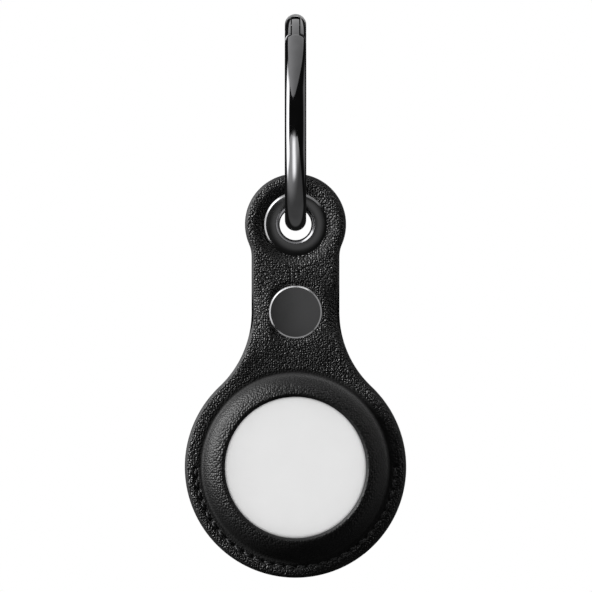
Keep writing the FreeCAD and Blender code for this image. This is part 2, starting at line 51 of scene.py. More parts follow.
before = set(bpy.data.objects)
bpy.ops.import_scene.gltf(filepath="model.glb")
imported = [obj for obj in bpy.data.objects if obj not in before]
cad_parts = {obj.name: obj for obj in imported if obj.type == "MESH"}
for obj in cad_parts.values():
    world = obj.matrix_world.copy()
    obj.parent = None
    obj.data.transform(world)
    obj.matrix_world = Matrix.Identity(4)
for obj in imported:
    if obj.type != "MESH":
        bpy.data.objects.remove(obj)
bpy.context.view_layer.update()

MM = 0.001
MICRON = 0.000001
MERGE = 1 * MICRON
FULL_TURN = 2 * math.pi
QUARTER_TURN = math.pi / 2
ALONG_X = (1, 0, 0)
ALONG_Y = (0, 1, 0)
ALONG_Z = (0, 0, 1)
FRONT = -1
REAR = 1
THROUGH = 5 * MM


def length(label, note, millimetres):
    """Setting for a length."""
    return FloatProperty(name=label, description=note, default=millimetres * MM, unit="LENGTH")


def power(label, source, watts):
    """Setting for a lamp's power."""
    return FloatProperty(name=label, description="Power of " + source, default=watts, unit="POWER")


def share(label, note, value):
    """Setting between 0 and 1."""
    return FloatProperty(name=label, description=note, default=value, min=0, max=1, subtype="FACTOR")


def tint(label, place, value):
    """Setting for a colour."""
    return FloatVectorProperty(name=label, description="Colour of " + place, default=value,
                               subtype="COLOR", size=3, min=0, max=1)


def middle(node):
    """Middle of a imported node's box."""
    low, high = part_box(node)
    return (low + high) / 2


EYELET_Z = middle("eyelet").z
SNAP_Z = middle("snap_cap").z
POCKET_Z = middle("tag_cover").z
BACKING_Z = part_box("head_backing")[0].z
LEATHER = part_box("head_backing")[1].y
POCKET_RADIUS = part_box("front_panel")[1].x
HEAD_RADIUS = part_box("head_backing")[1].x
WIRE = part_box("ring_body")[1].x
RING_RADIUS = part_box("ring_body")[1].y - WIRE
RING_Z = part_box("ring_body")[0].z + RING_RADIUS + WIRE
PIN = middle("gate_pin")
PIN_ANGLE = math.atan2(-PIN.y, PIN.z - RING_Z)


class LeatherSettings(PropertyGroup):
    """Sizes and colours of the leather."""
    neck_width: length("Neck Width", "Width of the strap between head and pocket", 16.68)
    pocket_blend: length("Pocket Blend", "Radius of the hollow curve from neck to pocket", 19.4)
    head_blend: length("Head Blend", "Radius of the hollow curve from neck to head", 5.7)
    edge_round: length("Edge Round", "Rounding of the painted outer edge", 0.9)
    crease_radius: length("Crease Radius", "Radius where the formed dome leaves the flat rim", 17.93)
    window_radius: length("Window Radius", "Radius of the round window", 13.34)
    lip_round: length("Lip Round", "Rounding of the window's painted lip", 0.6)
    skin_size: length("Skin Size", "Cell size of the leather's mesh", 0.22)
    press_depth: length("Press Depth", "How far the eyelet pulls the leather in", 0.85)
    curl_depth: length("Curl Depth", "How far the neck's margins fall back beside the press stud", 1.5)
    sink_depth: length("Sink Depth", "How far the leather falls back between press stud and dome", 0.5)
    grain_depth: length("Grain Depth", "Height of one pebble of the grain", 0.22)
    pebble_size: length("Pebble Size", "Width of one pebble of the grain", 0.42)
    face_colour: tint("Face Colour", "the grain side", (0.005, 0.005, 0.0052))
    edge_colour: tint("Edge Colour", "the painted edges", (0.007, 0.007, 0.0073))
    flesh_colour: tint("Flesh Colour", "the inner side", (0.03, 0.029, 0.028))


class SeamSettings(PropertyGroup):
    """Sizes and colour of the stitching."""
    stitches: IntProperty(
        name="Stitches", description="Stitches on each face, round the lower half", default=28)
    seam_radius: length("Seam Radius", "Radius of the row of stitches", 18.9)
    stitch_length: length("Stitch Length", "Length of one stitch", 1.6)
    thread_width: length("Thread Width", "Width of the two plies together", 0.56)
    groove_depth: length("Groove Depth", "Depth of the stitching groove", 0.28)
    colour: tint("Thread Colour", "the waxed thread", (0.014, 0.014, 0.015))


class MetalSettings(PropertyGroup):
    """Finishes of the metal pieces."""
    gunmetal: tint("Gunmetal", "the dark plating", (0.2, 0.2, 0.205))
    satin: tint("Satin Plating", "eyelet and press-stud caps", (0.32, 0.32, 0.325))
    ring_roughness: share("Ring Roughness", "Roughness of the polished ring", 0.08)
    cap_roughness: share("Cap Roughness", "Roughness of eyelet and press stud", 0.22)
    plated: tint("Plated Steel", "the plated inner pieces", (0.5, 0.5, 0.51))
    steel: tint("Polished Steel", "the battery cover", (0.72, 0.72, 0.73))


class RingSettings(PropertyGroup):
    """Sizes of the ring and its spring gate."""
    gate_angle: FloatProperty(
        name="Gate Angle", description="Turn from the hinge pin to the gate's closing end",
        default=math.radians(75), unit="ROTATION")
    cheek_reach: length("Cheek Reach", "How far the fork's cheeks reach past the pin", 3.5)
    cheek_round: length("Cheek Round", "Rounding of the cheeks' ends", 0.16)
    shoulder_gap: length("Shoulder Gap", "Gap between the cheeks and the ring's shoulder", 0.34)
    shoulder_round: length("Shoulder Round", "Rounding of the ring's shoulder", 0.45)
    slot_radius: length("Slot Radius", "How far the fork's slot runs from the pin", 4.2)
    slot_width: length("Slot Width", "Width of the fork's slot", 1.86)
    tongue_radius: length("Tongue Radius", "Radius of the tongue's tip", 3.3)
    tongue_width: length("Tongue Width", "Width of the ring's tongue in the fork", 1.34)
    cam_offset: length("Cam Offset", "How far the tip's centre lies inside the pin", 0.55)
    lap_length: length("Lap Length", "Length of the half lap at the gate's closing end", 1.6)
    lap_gap: length("Lap Gap", "Gap in the half lap", 0.12)
    bore_reach: length("Bore Reach", "Depth of the spring's bore from the pin", 9.2)
    bore_radius: length("Bore Radius", "Radius of the spring's bore", 0.7)
    pin_hole: length("Pin Hole", "Radius of the tongue's hole, in which the hinge pin turns", 0.63)
    pin_press: length("Pin Press", "Radius of the cheeks' holes, in which the hinge pin sits tight", 0.604)
    spring_start: length("Spring Start", "Distance from the pin to the spring's first coil", 5.8415)
    spring_coil: length("Spring Coil", "Radius of the spring's coils", 0.53)
    spring_wire: length("Spring Wire", "Width of the spring's wire", 0.24)
    spring_turns: IntProperty(
        name="Spring Turns", description="Coils of the spring", default=5)


class TagSettings(PropertyGroup):
    """Finishes of the tracker."""
    white: tint("White Plastic", "the shells", (0.82, 0.82, 0.82))
    inner: tint("Inner Plastic", "the carrier plate", (0.03, 0.03, 0.032))
    board: tint("Board", "the circuit board", (0.02, 0.13, 0.06))


class StageSettings(PropertyGroup):
    """Camera, lights and floor."""
    view_width: length("View Width", "Width of the picture at the leather", 112.1)
    view_distance: length("View Distance", "Distance from camera to leather", 1500)
    view_x: length("View X", "Sideways place of the picture's middle", 0.09)
    view_z: length("View Z", "Height of the picture's middle", -49.39)
    floor_z: length("Floor Height", "Height of the floor under the hanging holder", -750)
    rim_power: power("Rim Power", "the panel on the left that only the ring sees", 7.4)
    edge_power: power("Edge Power", "the tall card on the left of eyelet and caps", 2.2)
    bead_power: power("Bead Power", "the card on the eyelet's inner bead", 1.5)
    back_power: power("Back Power", "the grey card behind the ring's top", 0.65)
    key_power: power("Key Power", "the softbox at the upper left", 0.72)
    top_power: power("Top Power", "the overhead panel on the metal", 9.0)
    sky_power: power("Sky Power", "the overhead panel on the leather", 2.4)
    fill_power: power("Fill Power", "the weak strip on the right of the leather", 0.42)
    dusk_power: power("Dusk Power", "the dim panel on the right of the ring", 0.34)
    streak_power: power("Streak Power", "the low soft light that only the ring sees", 4.0)
    glow_power: power("Glow Power", "the wide panel below the ring", 11.0)
    under_power: power("Under Power", "the dim panel under the ring's end", 0.02)
    side_power: power("Side Power", "the side softbox on the leather", 4.5)
    card_power: power("Card Power", "the dim front card on eyelet and caps", 0.35)
    front_power: power("Front Power", "the front softbox on the tracker", 3.5)
    rear_power: power("Rear Power", "the softbox behind, for the back only", 6.0)
    tent_power: power("Tent Power", "the cards beside and below the caps", 0.8)
    floor_lift: share("Floor Lift", "Paleness that the camera sees in the floor", 0.5)
    ambient: share("Ambient", "Even light from the room", 0.3)


class HolderSettings(PropertyGroup):
    """All settings of the holder."""
    leather: PointerProperty(type=LeatherSettings)
    seam: PointerProperty(type=SeamSettings)
    metal: PointerProperty(type=MetalSettings)
    ring: PointerProperty(type=RingSettings)
    tag: PointerProperty(type=TagSettings)
    stage: PointerProperty(type=StageSettings)


# Drawing and shaping

def clear_selection():
    """Object mode with nothing selected."""
    active = bpy.context.view_layer.objects.active
    if active and active.mode != "OBJECT":
        bpy.ops.object.mode_set(mode="OBJECT")
    bpy.ops.object.select_all(action="DESELECT")


def make_active(piece):
    """Leave only this piece selected."""
    clear_selection()
    piece.select_set(True)
    bpy.context.view_layer.objects.active = piece


class Line:
    """A line drawn in edit mode by carrying one vertex along straight runs and arcs."""

    def __init__(self, name, start, axis, spacing):
        clear_selection()
        bpy.ops.mesh.primitive_plane_add(size=MM)
        self.piece = bpy.context.object
        self.piece.name = name
        self.axis = Vector(axis)
        self.spacing = spacing
        self.here = Vector(start)
        bpy.ops.object.mode_set(mode="EDIT")
        bpy.ops.mesh.select_mode(type="VERT")
        bpy.ops.mesh.select_all(action="SELECT")
        bpy.ops.mesh.merge(type="CENTER")
        bpy.ops.transform.translate(value=self.here)

    def run(self, there, steps=1):
        """Straight run to a point, in equal steps."""
        stride = (Vector(there) - self.here) / steps
        for number in range(steps):
            bpy.ops.mesh.extrude_region_move(TRANSFORM_OT_translate={"value": stride})
        self.here = Vector(there)

    def arc(self, centre, there):
        """Arc of under half a turn round a centre, to a point."""
        start = self.here - Vector(centre)
        end = Vector(there) - Vector(centre)
        angle = math.atan2(self.axis.dot(start.cross(end)), start.dot(end))
        steps = max(3, math.ceil(abs(angle) * end.length / self.spacing))
        bpy.ops.mesh.spin(steps=steps, angle=-angle, center=centre, axis=self.axis)
        self.here = Vector(there)

    def merge(self):
        """Select the whole line and join its meeting ends."""
        bpy.ops.mesh.select_all(action="SELECT")
        bpy.ops.mesh.remove_doubles(threshold=MERGE)
        bpy.ops.mesh.select_all(action="SELECT")


def face_outwards():
    """Close doubles and turn all faces of the mesh in edit mode outwards."""
    bpy.ops.mesh.select_all(action="SELECT")
    bpy.ops.mesh.remove_doubles(threshold=MERGE)
    bpy.ops.mesh.normals_make_consistent(inside=False)
    bpy.ops.object.mode_set(mode="OBJECT")


def turned(name, height, steps, sides=112, spacing=0.12):
    """Piece turned about the front-to-back axis, drawn in millimetres of radius and depth.

    A step of two numbers is a straight run; a step of four is an arc, its centre first.
    """
    line = Line(name, (steps[0][0] * MM, steps[0][1] * MM, height), ALONG_Z, spacing * MM)
    for step in steps[1:]:
        there = (step[-2] * MM, step[-1] * MM, height)
        if len(step) == 4:
            line.arc((step[0] * MM, step[1] * MM, height), there)
        else:
            line.run(there)
    line.merge()
    bpy.ops.mesh.spin(steps=sides, angle=FULL_TURN, center=(0, 0, height), axis=ALONG_Y)
    face_outwards()
    return line.piece


def smooth(piece, degrees=35.0):
    """Smooth shading that keeps corners sharper than an angle."""
    make_active(piece)
    bpy.ops.object.shade_smooth_by_angle(angle=math.radians(degrees))


def rod(radius, depth, centre, turn, sides):
    """Cylinder that a hole is cut with."""
    clear_selection()
    bpy.ops.mesh.primitive_cylinder_add(
        vertices=sides, radius=radius, depth=depth, location=centre, rotation=turn)
    return bpy.context.object


def plug(radius, height, front=-THROUGH, rear=THROUGH):
    """Rod along Y between two depths."""
    return rod(radius, rear - front, (0, (front + rear) / 2, height), (QUARTER_TURN, 0, 0), 96)


def block(centre, size, turn=0.0):
    """Box of three sizes, turned about X."""
    clear_selection()
    bpy.ops.mesh.primitive_cube_add(size=1, location=centre, rotation=(turn, 0, 0), scale=size)
    return bpy.context.object


def settle():
    """Carry the active piece's place, turn and scale into its mesh."""
    bpy.ops.object.transform_apply(location=True, rotation=True, scale=True)


def edit_all():
    """Edit mode with the whole mesh selected."""
    bpy.ops.object.mode_set(mode="EDIT")
    bpy.ops.mesh.select_all(action="SELECT")


def copied(piece):
    """Copy of a piece with a mesh of its own, left active."""
    copy = piece.copy()
    copy.data = piece.data.copy()
    bpy.context.scene.collection.objects.link(copy)
    make_active(copy)
    return copy


def apply_modifier(piece, kind, **values):
    """Add a modifier, set it and apply it."""
    modifier = piece.modifiers.new(kind.lower(), kind)
    for name, value in values.items():
        setattr(modifier, name, value)
    make_active(piece)
    bpy.ops.object.modifier_apply(modifier=modifier.name)


def cut(piece, cutter, operation="DIFFERENCE"):
    """Cut a piece with another shape, which is then removed."""
    apply_modifier(piece, "BOOLEAN", object=cutter, operation=operation, solver="EXACT")
    bpy.data.objects.remove(cutter)


def join(pieces, name):
    """Join pieces into one object."""
    make_active(pieces[0])
    for other in pieces[1:]:
        other.select_set(True)
    bpy.ops.object.join()
    pieces[0].name = name
    return pieces[0]


def finish_piece(piece, body, slot, material, *nodes):
    """Give a piece its material and body, and hide the nodes that it stands for. The slot is not used."""
    piece.data.materials.clear()
    piece.data.materials.append(material)
    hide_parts(*nodes)
    if body:
        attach(piece, body)


# Material building

class Graph:
    """Short way to add and link the nodes of one tree."""

    def __init__(self, tree):
        self.tree = tree

    def add(self, kind, sockets=None, **settings):
        """Add a node, set its properties, then set or link its inputs."""
        node = self.tree.nodes.new(kind)
        for name, value in settings.items():
            setattr(node, name, value)
        for name, value in (sockets or {}).items():
            if isinstance(value, bpy.types.NodeSocket):
                self.tree.links.new(value, node.inputs[name])
            else:
                node.inputs[name].default_value = value
        return node

    def calc(self, operation, *values, clamp=False):
        """Math node."""
        node = self.add("ShaderNodeMath", dict(enumerate(values)), operation=operation, use_clamp=clamp)
        return node.outputs[0]

    def blend(self, factor, first, second):
        """Colour between two colours."""
        node = self.add("ShaderNodeMix", {0: factor, 6: first, 7: second}, data_type="RGBA")
        return node.outputs[2]

    def between(self, factor, first, second):
        """Value between two values."""
        node = self.add("ShaderNodeMix", {0: factor, 2: first, 3: second}, data_type="FLOAT")
        return node.outputs[0]

    def spread(self, value, low, high, to_low=0.0, to_high=1.0):
        """Smoothly map a value from one range to another."""
        node = self.add("ShaderNodeMapRange", {0: value, 1: low, 2: high, 3: to_low, 4: to_high},
                        interpolation_type="SMOOTHSTEP")
        return node.outputs[0]

    def vector(self, operation, sockets):
        """Vector math node."""
        return self.add("ShaderNodeVectorMath", sockets, operation=operation).outputs[0]

    def group(self, tree, sockets):
        """Place a node group."""
        return self.add("ShaderNodeGroup", sockets, node_tree=tree).outputs


def new_group(name, inputs, outputs):
    """Empty shader group with named sockets, and its inner ends."""
    tree = bpy.data.node_groups.new(name, "ShaderNodeTree")
    for socket, kind, default in inputs:
        item = tree.interface.new_socket(socket, in_out="INPUT", socket_type=kind)
        if default is not None:
            item.default_value = default
    for socket in outputs:
        tree.interface.new_socket(socket, in_out="OUTPUT", socket_type="NodeSocketFloat")
    return Graph(tree), tree.nodes.new("NodeGroupInput").outputs, tree.nodes.new("NodeGroupOutput").inputs


def pebble_group():
    """Leather grain: rounded pebbles of uneven size, with furrows between them."""
    known = bpy.data.node_groups.get("pebble_grain")
    if known:
        return known
    graph, inner, outer = new_group(
        "pebble_grain",
        [("Vector", "NodeSocketVector", None), ("Cells per Metre", "NodeSocketFloat", 1600.0),
         ("Warp", "NodeSocketFloat", 0.0003)],
        ["Height", "Furrow"])
    scale = inner["Cells per Metre"]
    drift = graph.add("ShaderNodeTexNoise",
                      {"Vector": inner["Vector"], "Scale": graph.calc("MULTIPLY", scale, 0.6), "Detail": 1.0})
    centred = graph.vector("SUBTRACT", {0: drift.outputs["Color"], 1: (0.5, 0.5, 0.5)})
    moved = graph.vector("SCALE", {0: centred, "Scale": inner["Warp"]})
    place = graph.vector("ADD", {0: inner["Vector"], 1: moved})
    flat = {"voronoi_dimensions": "2D"}
    large = graph.add("ShaderNodeTexVoronoi",
                      {"Vector": place, "Scale": scale, "Smoothness": 0.3, "Randomness": 0.8},
                      feature="SMOOTH_F1", **flat)
    small = graph.add("ShaderNodeTexVoronoi",
                      {"Vector": place, "Scale": graph.calc("MULTIPLY", scale, 1.9), "Smoothness": 0.5},
                      feature="SMOOTH_F1", **flat)
    edges = graph.add("ShaderNodeTexVoronoi", {"Vector": place, "Scale": scale, "Randomness": 0.8},
                      feature="DISTANCE_TO_EDGE", **flat)
    furrow = graph.spread(edges.outputs["Distance"], 0.0, 0.28)
    crown = graph.calc("SUBTRACT", 1.0, large.outputs["Distance"])
    pimple = graph.calc("MULTIPLY", small.outputs["Distance"], -0.3)
    height = graph.calc("ADD", crown, pimple)
    graph.tree.links.new(height, outer["Height"])
    graph.tree.links.new(furrow, outer["Furrow"])
    return graph.tree


def mottle_group():
    """Soft uneven patches with finer specks in them, for wear, polish and dust."""
    known = bpy.data.node_groups.get("soft_mottle")
    if known:
        return known
    graph, inner, outer = new_group(
        "soft_mottle",
        [("Vector", "NodeSocketVector", None), ("Patches per Metre", "NodeSocketFloat", 200.0)],
        ["Patch", "Speck"])
    broad = graph.add("ShaderNodeTexNoise",
                      {"Vector": inner["Vector"], "Scale": inner["Patches per Metre"], "Detail": 3.0})
    fine_scale = graph.calc("MULTIPLY", inner["Patches per Metre"], 18.0)
    fine = graph.add("ShaderNodeTexNoise", {"Vector": inner["Vector"], "Scale": fine_scale, "Detail": 2.0})
    graph.tree.links.new(graph.spread(broad.outputs["Fac"], 0.3, 0.7), outer["Patch"])
    graph.tree.links.new(fine.outputs["Fac"], outer["Speck"])
    return graph.tree


def new_material(name, **sockets):
    """Material with one Principled shader; constant inputs are set on its own sockets."""
    material = bpy.data.materials.new(name)
    material.use_nodes = True
    tree = material.node_tree
    tree.nodes.clear()
    graph = Graph(tree)
    shader = graph.add("ShaderNodeBsdfPrincipled")
    graph.add("ShaderNodeOutputMaterial", {"Surface": shader.outputs[0]})
    for socket, value in sockets.items():
        shader.inputs[socket.replace("_", " ")].default_value = value
    return material, graph, shader


def opaque(colour, factor):
    """Colour with alpha, made lighter or darker."""
    return (*(min(1.0, c * factor) for c in colour), 1.0)


def tones(graph, factor, colour, dark, light):
    """Colour between a darker and a lighter tone of itself."""
    return graph.blend(factor, opaque(colour, dark), opaque(colour, light))


def mottled(graph, patches):
    """Soft patches and finer specks on a piece, so many patches to the metre."""
    place = graph.add("ShaderNodeTexCoord").outputs["Object"]
    return graph.group(mottle_group(), {"Vector": place, "Patches per Metre": patches})


def surface(graph, shader, colour, polish, height, strength, depth):
    """Link a shader's colour, roughness and bump."""
    bump = graph.add("ShaderNodeBump", {"Height": height, "Strength": strength, "Distance": depth})
    for socket, value in (("Base Color", colour), ("Roughness", polish), ("Normal", bump.outputs[0])):
        graph.tree.links.new(value, shader.inputs[socket])


def leather_material(looks):
    """Black pebbled leather with painted edges and a fibrous inner side."""
    known = bpy.data.materials.get("pebbled_leather")
    if known:
        return known
    material, graph, shader = new_material("pebbled_leather", Specular_IOR_Level=0.5)
    edge, flesh, stretch, crease = (
        graph.add("ShaderNodeAttribute", attribute_name=name).outputs["Fac"]
        for name in ("edge_paint", "flesh_side", "stretch", "crease"))
    flattened = graph.add("ShaderNodeAttribute", attribute_name="flat_place").outputs["Vector"]
    grain = graph.group(pebble_group(), {"Vector": flattened, "Cells per Metre": 1 / looks.pebble_size,
                                         "Warp": looks.pebble_size * 0.3})
    mottle = mottled(graph, 260.0)
    fibre = mottled(graph, 900.0)
    # Painted shade: the grain side's colour is darker in the furrows between pebbles and lighter on their
    # crowns.
    face = tones(graph, grain["Furrow"], looks.face_colour, 0.5, 1.15)
    worn = graph.calc("MULTIPLY", mottle["Patch"], 0.4)
    face = graph.blend(worn, face, opaque(looks.face_colour, 1.5))
    paint = tones(graph, mottle["Patch"], looks.edge_colour, 0.8, 1.2)
    inside = tones(graph, fibre["Speck"], looks.flesh_colour, 0.5, 1.5)
    colour = graph.blend(flesh, graph.blend(edge, face, paint), inside)
    polish = graph.between(grain["Furrow"], 0.6, 0.3)
    polish = graph.calc("MULTIPLY_ADD", mottle["Patch"], 0.06, polish)
    for place, roughness in ((stretch, 0.52), (crease, 0.9), (edge, 0.66), (flesh, 0.9)):
        polish = graph.between(place, polish, roughness)
    depth = graph.between(crease, graph.between(stretch, 1.0, 0.5), 0.2)
    pebbles = graph.calc("MULTIPLY", grain["Height"], depth)
    rubbed = graph.calc("MULTIPLY", mottle["Speck"], 0.1)
    nap = graph.calc("MULTIPLY", fibre["Speck"], 0.8)
    height = graph.between(flesh, graph.between(edge, pebbles, rubbed), nap)
    surface(graph, shader, colour, polish, height, 1.0, looks.grain_depth)
    return material


def thread_material(looks):
    """Waxed black thread with fine fibres."""
    material, graph, shader = new_material("waxed_thread", Specular_IOR_Level=0.55)
    fibre = mottled(graph, 700.0)
    colour = tones(graph, fibre["Speck"], looks.colour, 0.6, 1.6)
    polish = graph.between(fibre["Patch"], 0.38, 0.55)
    surface(graph, shader, colour, polish, fibre["Speck"], 0.6, 30 * MICRON)
    return material


def metal_material(name, colour, roughness, spread, patches, dent):
    """Plated or polished metal: uneven polish and a trace of fine marks."""
    known = bpy.data.materials.get(name)
    if known:
        return known
    material, graph, shader = new_material(name, Metallic=1.0)
    mottle = mottled(graph, patches)
    tone = tones(graph, mottle["Patch"], colour, 0.93, 1.07)
    polish = graph.between(mottle["Patch"], roughness - spread, roughness + spread)
    surface(graph, shader, tone, polish, mottle["Speck"], 0.3, dent)
    return material


def plastic_material(name, colour, roughness, coat, grain):
    """Moulded plastic with a slight moulding texture."""
    known = bpy.data.materials.get(name)
    if known:
        return known
    material, graph, shader = new_material(name, Coat_Weight=coat, Coat_Roughness=0.08)
    mottle = mottled(graph, 120.0)
    tone = tones(graph, mottle["Patch"], colour, 0.985, 1.015)
    polish = graph.between(mottle["Speck"], roughness * 0.85, roughness * 1.15)
    surface(graph, shader, tone, polish, mottle["Speck"], 0.3, grain)
    return material


def gunmetal_ring(looks):
    """Mirror-polished dark plating."""
    return metal_material("polished_gunmetal", looks.gunmetal, looks.ring_roughness, 0.015, 300.0, 1 * MICRON)


def gunmetal_cap(looks):
    """Satin dark plating."""
    return metal_material("satin_gunmetal", looks.satin, looks.cap_roughness, 0.03, 300.0, 3 * MICRON)


def plated_steel(looks):
    """Bright plating of the small inner pieces."""
    return metal_material("plated_steel_finish", looks.plated, 0.22, 0.04, 600.0, 2 * MICRON)


def white_plastic(looks):
    """Gloss white of the tracker's shells."""
    return plastic_material("white_gloss_plastic", looks.white, 0.22, 0.3, 2 * MICRON)


# Leather

EYELET_HOLE = 3.5 * MM
STUD_SEAT = 4.4 * MM
RIVET_HOLE = 1.2 * MM
FRONT_SEAT_DEPTH = 0.9 * MM
REAR_SEAT_DEPTH = 0.95 * MM
DOME_LAP = 0.7 * MM
FLANGE_RADIUS = 6 * MM
FLANGE_PRESS = 2 * MM
CAP_RADIUS = 5.1 * MM
CAP_PRESS = 1.2 * MM
REAR_CAP_RADIUS = 4.2 * MM
REAR_CAP_PRESS = 1.4 * MM


def side_points(radius, height, blend, way, neck_half):
    """Centre of a right-hand neck blend, and where it meets the disc and the neck."""
    reach = radius + blend
    rise = way * math.sqrt(reach ** 2 - (neck_half + blend) ** 2)
    centre = Vector((neck_half + blend, 0, height + rise))
    on_disc = Vector((centre.x * radius / reach, 0, height + rise * radius / reach))
    return centre, on_disc, Vector((neck_half, 0, centre.z))


def leather_plate(name, looks, with_head, side):
    """Leather cut to its outline: right half drawn, mirrored, filled, thickened, edge rounded."""
    half = looks.neck_width / 2
    spacing = looks.skin_size * 1.6
    blend, on_disc, on_neck = side_points(POCKET_RADIUS, POCKET_Z, looks.pocket_blend, 1, half)
    line = Line(name, (0, 0, POCKET_Z - POCKET_RADIUS), ALONG_Y, spacing)
    line.arc((0, 0, POCKET_Z), on_disc)
    line.arc(blend, on_neck)
    if with_head:
        curl, crown, throat = side_points(HEAD_RADIUS, EYELET_Z, looks.head_blend, -1, half)
        line.run(throat, steps=20)
        line.arc(curl, crown)
        line.arc((0, 0, EYELET_Z), (0, 0, EYELET_Z + HEAD_RADIUS))
    else:
        line.arc((0, 0, SNAP_Z), (0, 0, SNAP_Z + half))
    bpy.ops.mesh.select_all(action="SELECT")
    bpy.ops.mesh.duplicate()
    bpy.ops.transform.resize(value=(-1, 1, 1), center_override=(0, 0, 0))
    line.merge()
    line.piece.update_from_editmode()
    outline = KDTree(len(line.piece.data.vertices))
    for vertex in line.piece.data.vertices:
        outline.insert(vertex.co, vertex.index)
    outline.balance()
    bpy.ops.mesh.edge_face_add()
    bpy.ops.mesh.extrude_region_move(TRANSFORM_OT_translate={"value": (0, side * LEATHER, 0)})
    bpy.ops.mesh.region_to_loop()
    bpy.ops.mesh.bevel(offset=looks.edge_round, segments=6, affect="EDGES")
    face_outwards()
    return line.piece, outline


def dome(name, looks, side):
    """Wet-formed ring of leather from the crease up to the window's rounded lip."""
    crease = looks.crease_radius / MM
    window = looks.window_radius / MM
    leather = LEATHER / MM
    shoulder, lift, outer, inner = 12.75, 0.3, 4.95, 3.45
    lip, hollow, stub = looks.lip_round / MM, 0.5, DOME_LAP / MM
    tangent = math.atan2(leather + hollow - lift, crease - shoulder)
    foot = (shoulder + outer * math.cos(tangent), lift + outer * math.sin(tangent))
    rim = window + lip
    top = lift + math.sqrt(outer ** 2 - (rim - shoulder) ** 2)
    under = lift + math.sqrt(inner ** 2 - (window - shoulder) ** 2)
    steps = [
        (crease, leather),
        (crease, leather + hollow, *foot),
        (shoulder, lift, rim, top),
        (rim, top - lip, window, top - lip),
        (window, under),
        (shoulder, lift, shoulder + inner, lift),
        (shoulder + inner, 0),
        (crease + stub, 0),
        (crease + stub, leather),
        (crease, leather),
    ]
    steps = [tuple(value * (side if place % 2 else 1) for place, value in enumerate(step)) for step in steps]
    return turned(name, POCKET_Z, steps, sides=180, spacing=0.25)


def soften(piece, looks):
    """Turn joined shapes into one even leather skin."""
    apply_modifier(piece, "REMESH", mode="VOXEL", voxel_size=looks.skin_size, adaptivity=0.0)
    apply_modifier(piece, "SMOOTH", factor=0.5, iterations=4)


def ease(value):
    """Smooth step of an array, from 0 to 1."""
    value = np.clip(value, 0, 1)
    return value * value * (3 - 2 * value)


def read_skin(piece):
    """Points and normals of a mesh as arrays."""
    mesh = piece.data
    points = np.empty(len(mesh.vertices) * 3)
    normals = np.empty(len(mesh.vertices) * 3)
    mesh.vertices.foreach_get("co", points)
    mesh.vertex_normals.foreach_get("vector", normals)
    return points.reshape(-1, 3), normals.reshape(-1, 3)


def store(piece, name, values):
    """Write one value per point for the material to read."""
    attribute = piece.data.attributes.new(name, "FLOAT", "POINT")
    attribute.data.foreach_set("value", values.astype(np.float32))


def store_flat(piece, points, from_pocket, crease):
    """Write each point's place in the leather before forming, the dome laid out from its crease."""
    slope = np.hypot(crease - from_pocket, np.abs(points[:, 1]) - LEATHER)
    laid = np.where(from_pocket < crease, (crease - slope) / np.maximum(from_pocket, MM), 1)
    flat = np.zeros_like(points)
    flat[:, 0] = points[:, 0] * laid
    flat[:, 1] = POCKET_Z + (points[:, 2] - POCKET_Z) * laid
    attribute = piece.data.attributes.new("flat_place", "FLOAT_VECTOR", "POINT")
    attribute.data.foreach_set("vector", flat.ravel().astype(np.float32))


def bump_line(distance, width):
    """Bell curve, 1 at a line and fading within its width."""
    return np.exp(-(distance / width) ** 2)


def pressed(points, presses):
    """Leather pulled in round metal: height, radius, reach and depth of each press."""
    push = np.zeros(len(points))
    for height, radius, reach, depth in presses:
        away = np.hypot(points[:, 0], points[:, 2] - height)
        push += depth * ease((radius + reach - away) / reach)
    return push


def curled(points, looks):
    """Neck margins that fall back beside the press stud, after a swell on the left."""
    reach, margin, margin_width, sharpness = 7 * MM, 4.9 * MM, 3.5 * MM, 1.3
    swell_start, swell_width = 3 * MM, 1.9 * MM
    across = points[:, 0]
    beside = ease(1 - np.abs(points[:, 2] - SNAP_Z) / reach)
    swell = looks.curl_depth / 3 * beside
    fall = looks.curl_depth * beside - np.where(across > 0, swell, 0)
    fall *= np.clip((np.abs(across) - margin) / margin_width, 0, 1) ** sharpness
    return fall - swell * ease((-across - swell_start) / swell_width)


def stitched(points, from_pocket, seam):
    """Groove and needle holes of the seam, round the pocket's lower half."""
    groove_half, hole_radius, hole_depth, fade = 0.62 * MM, 0.55 * MM, 0.3 * MM, 2
    angle = np.degrees(np.arctan2(POCKET_Z - points[:, 2], points[:, 0]))
    along = ease((angle + fade) / fade) * ease((180 + fade - angle) / fade)
    off = np.abs(from_pocket - seam.seam_radius)
    phase = angle * seam.stitches / 180
    hole = np.abs(phase - np.round(phase)) * math.pi / seam.stitches * seam.seam_radius
    groove = seam.groove_depth * ease(1 - off / groove_half)
    return (groove + hole_depth * ease(1 - np.hypot(off, hole) / hole_radius)) * along


def sunk(points, from_crease, looks):
    """Leather that falls back between press stud and dome."""
    start, rise, edge, reach = 11 * MM, 6 * MM, 0.6 * MM, 6 * MM
    above = ease((points[:, 2] - POCKET_Z - start) / rise)
    return looks.sink_depth * above * ease((from_crease + edge) / edge) * ease(1 - from_crease / reach)


def waved(points):
    """Slight unevenness of the leather."""
    height = 0.03 * MM
    x, z = points[:, 0], points[:, 2]
    return height * (np.sin(x * 610 + 1.3 * np.sin(z * 370)) * np.sin(z * 540 + 0.9 * np.sin(x * 450)))


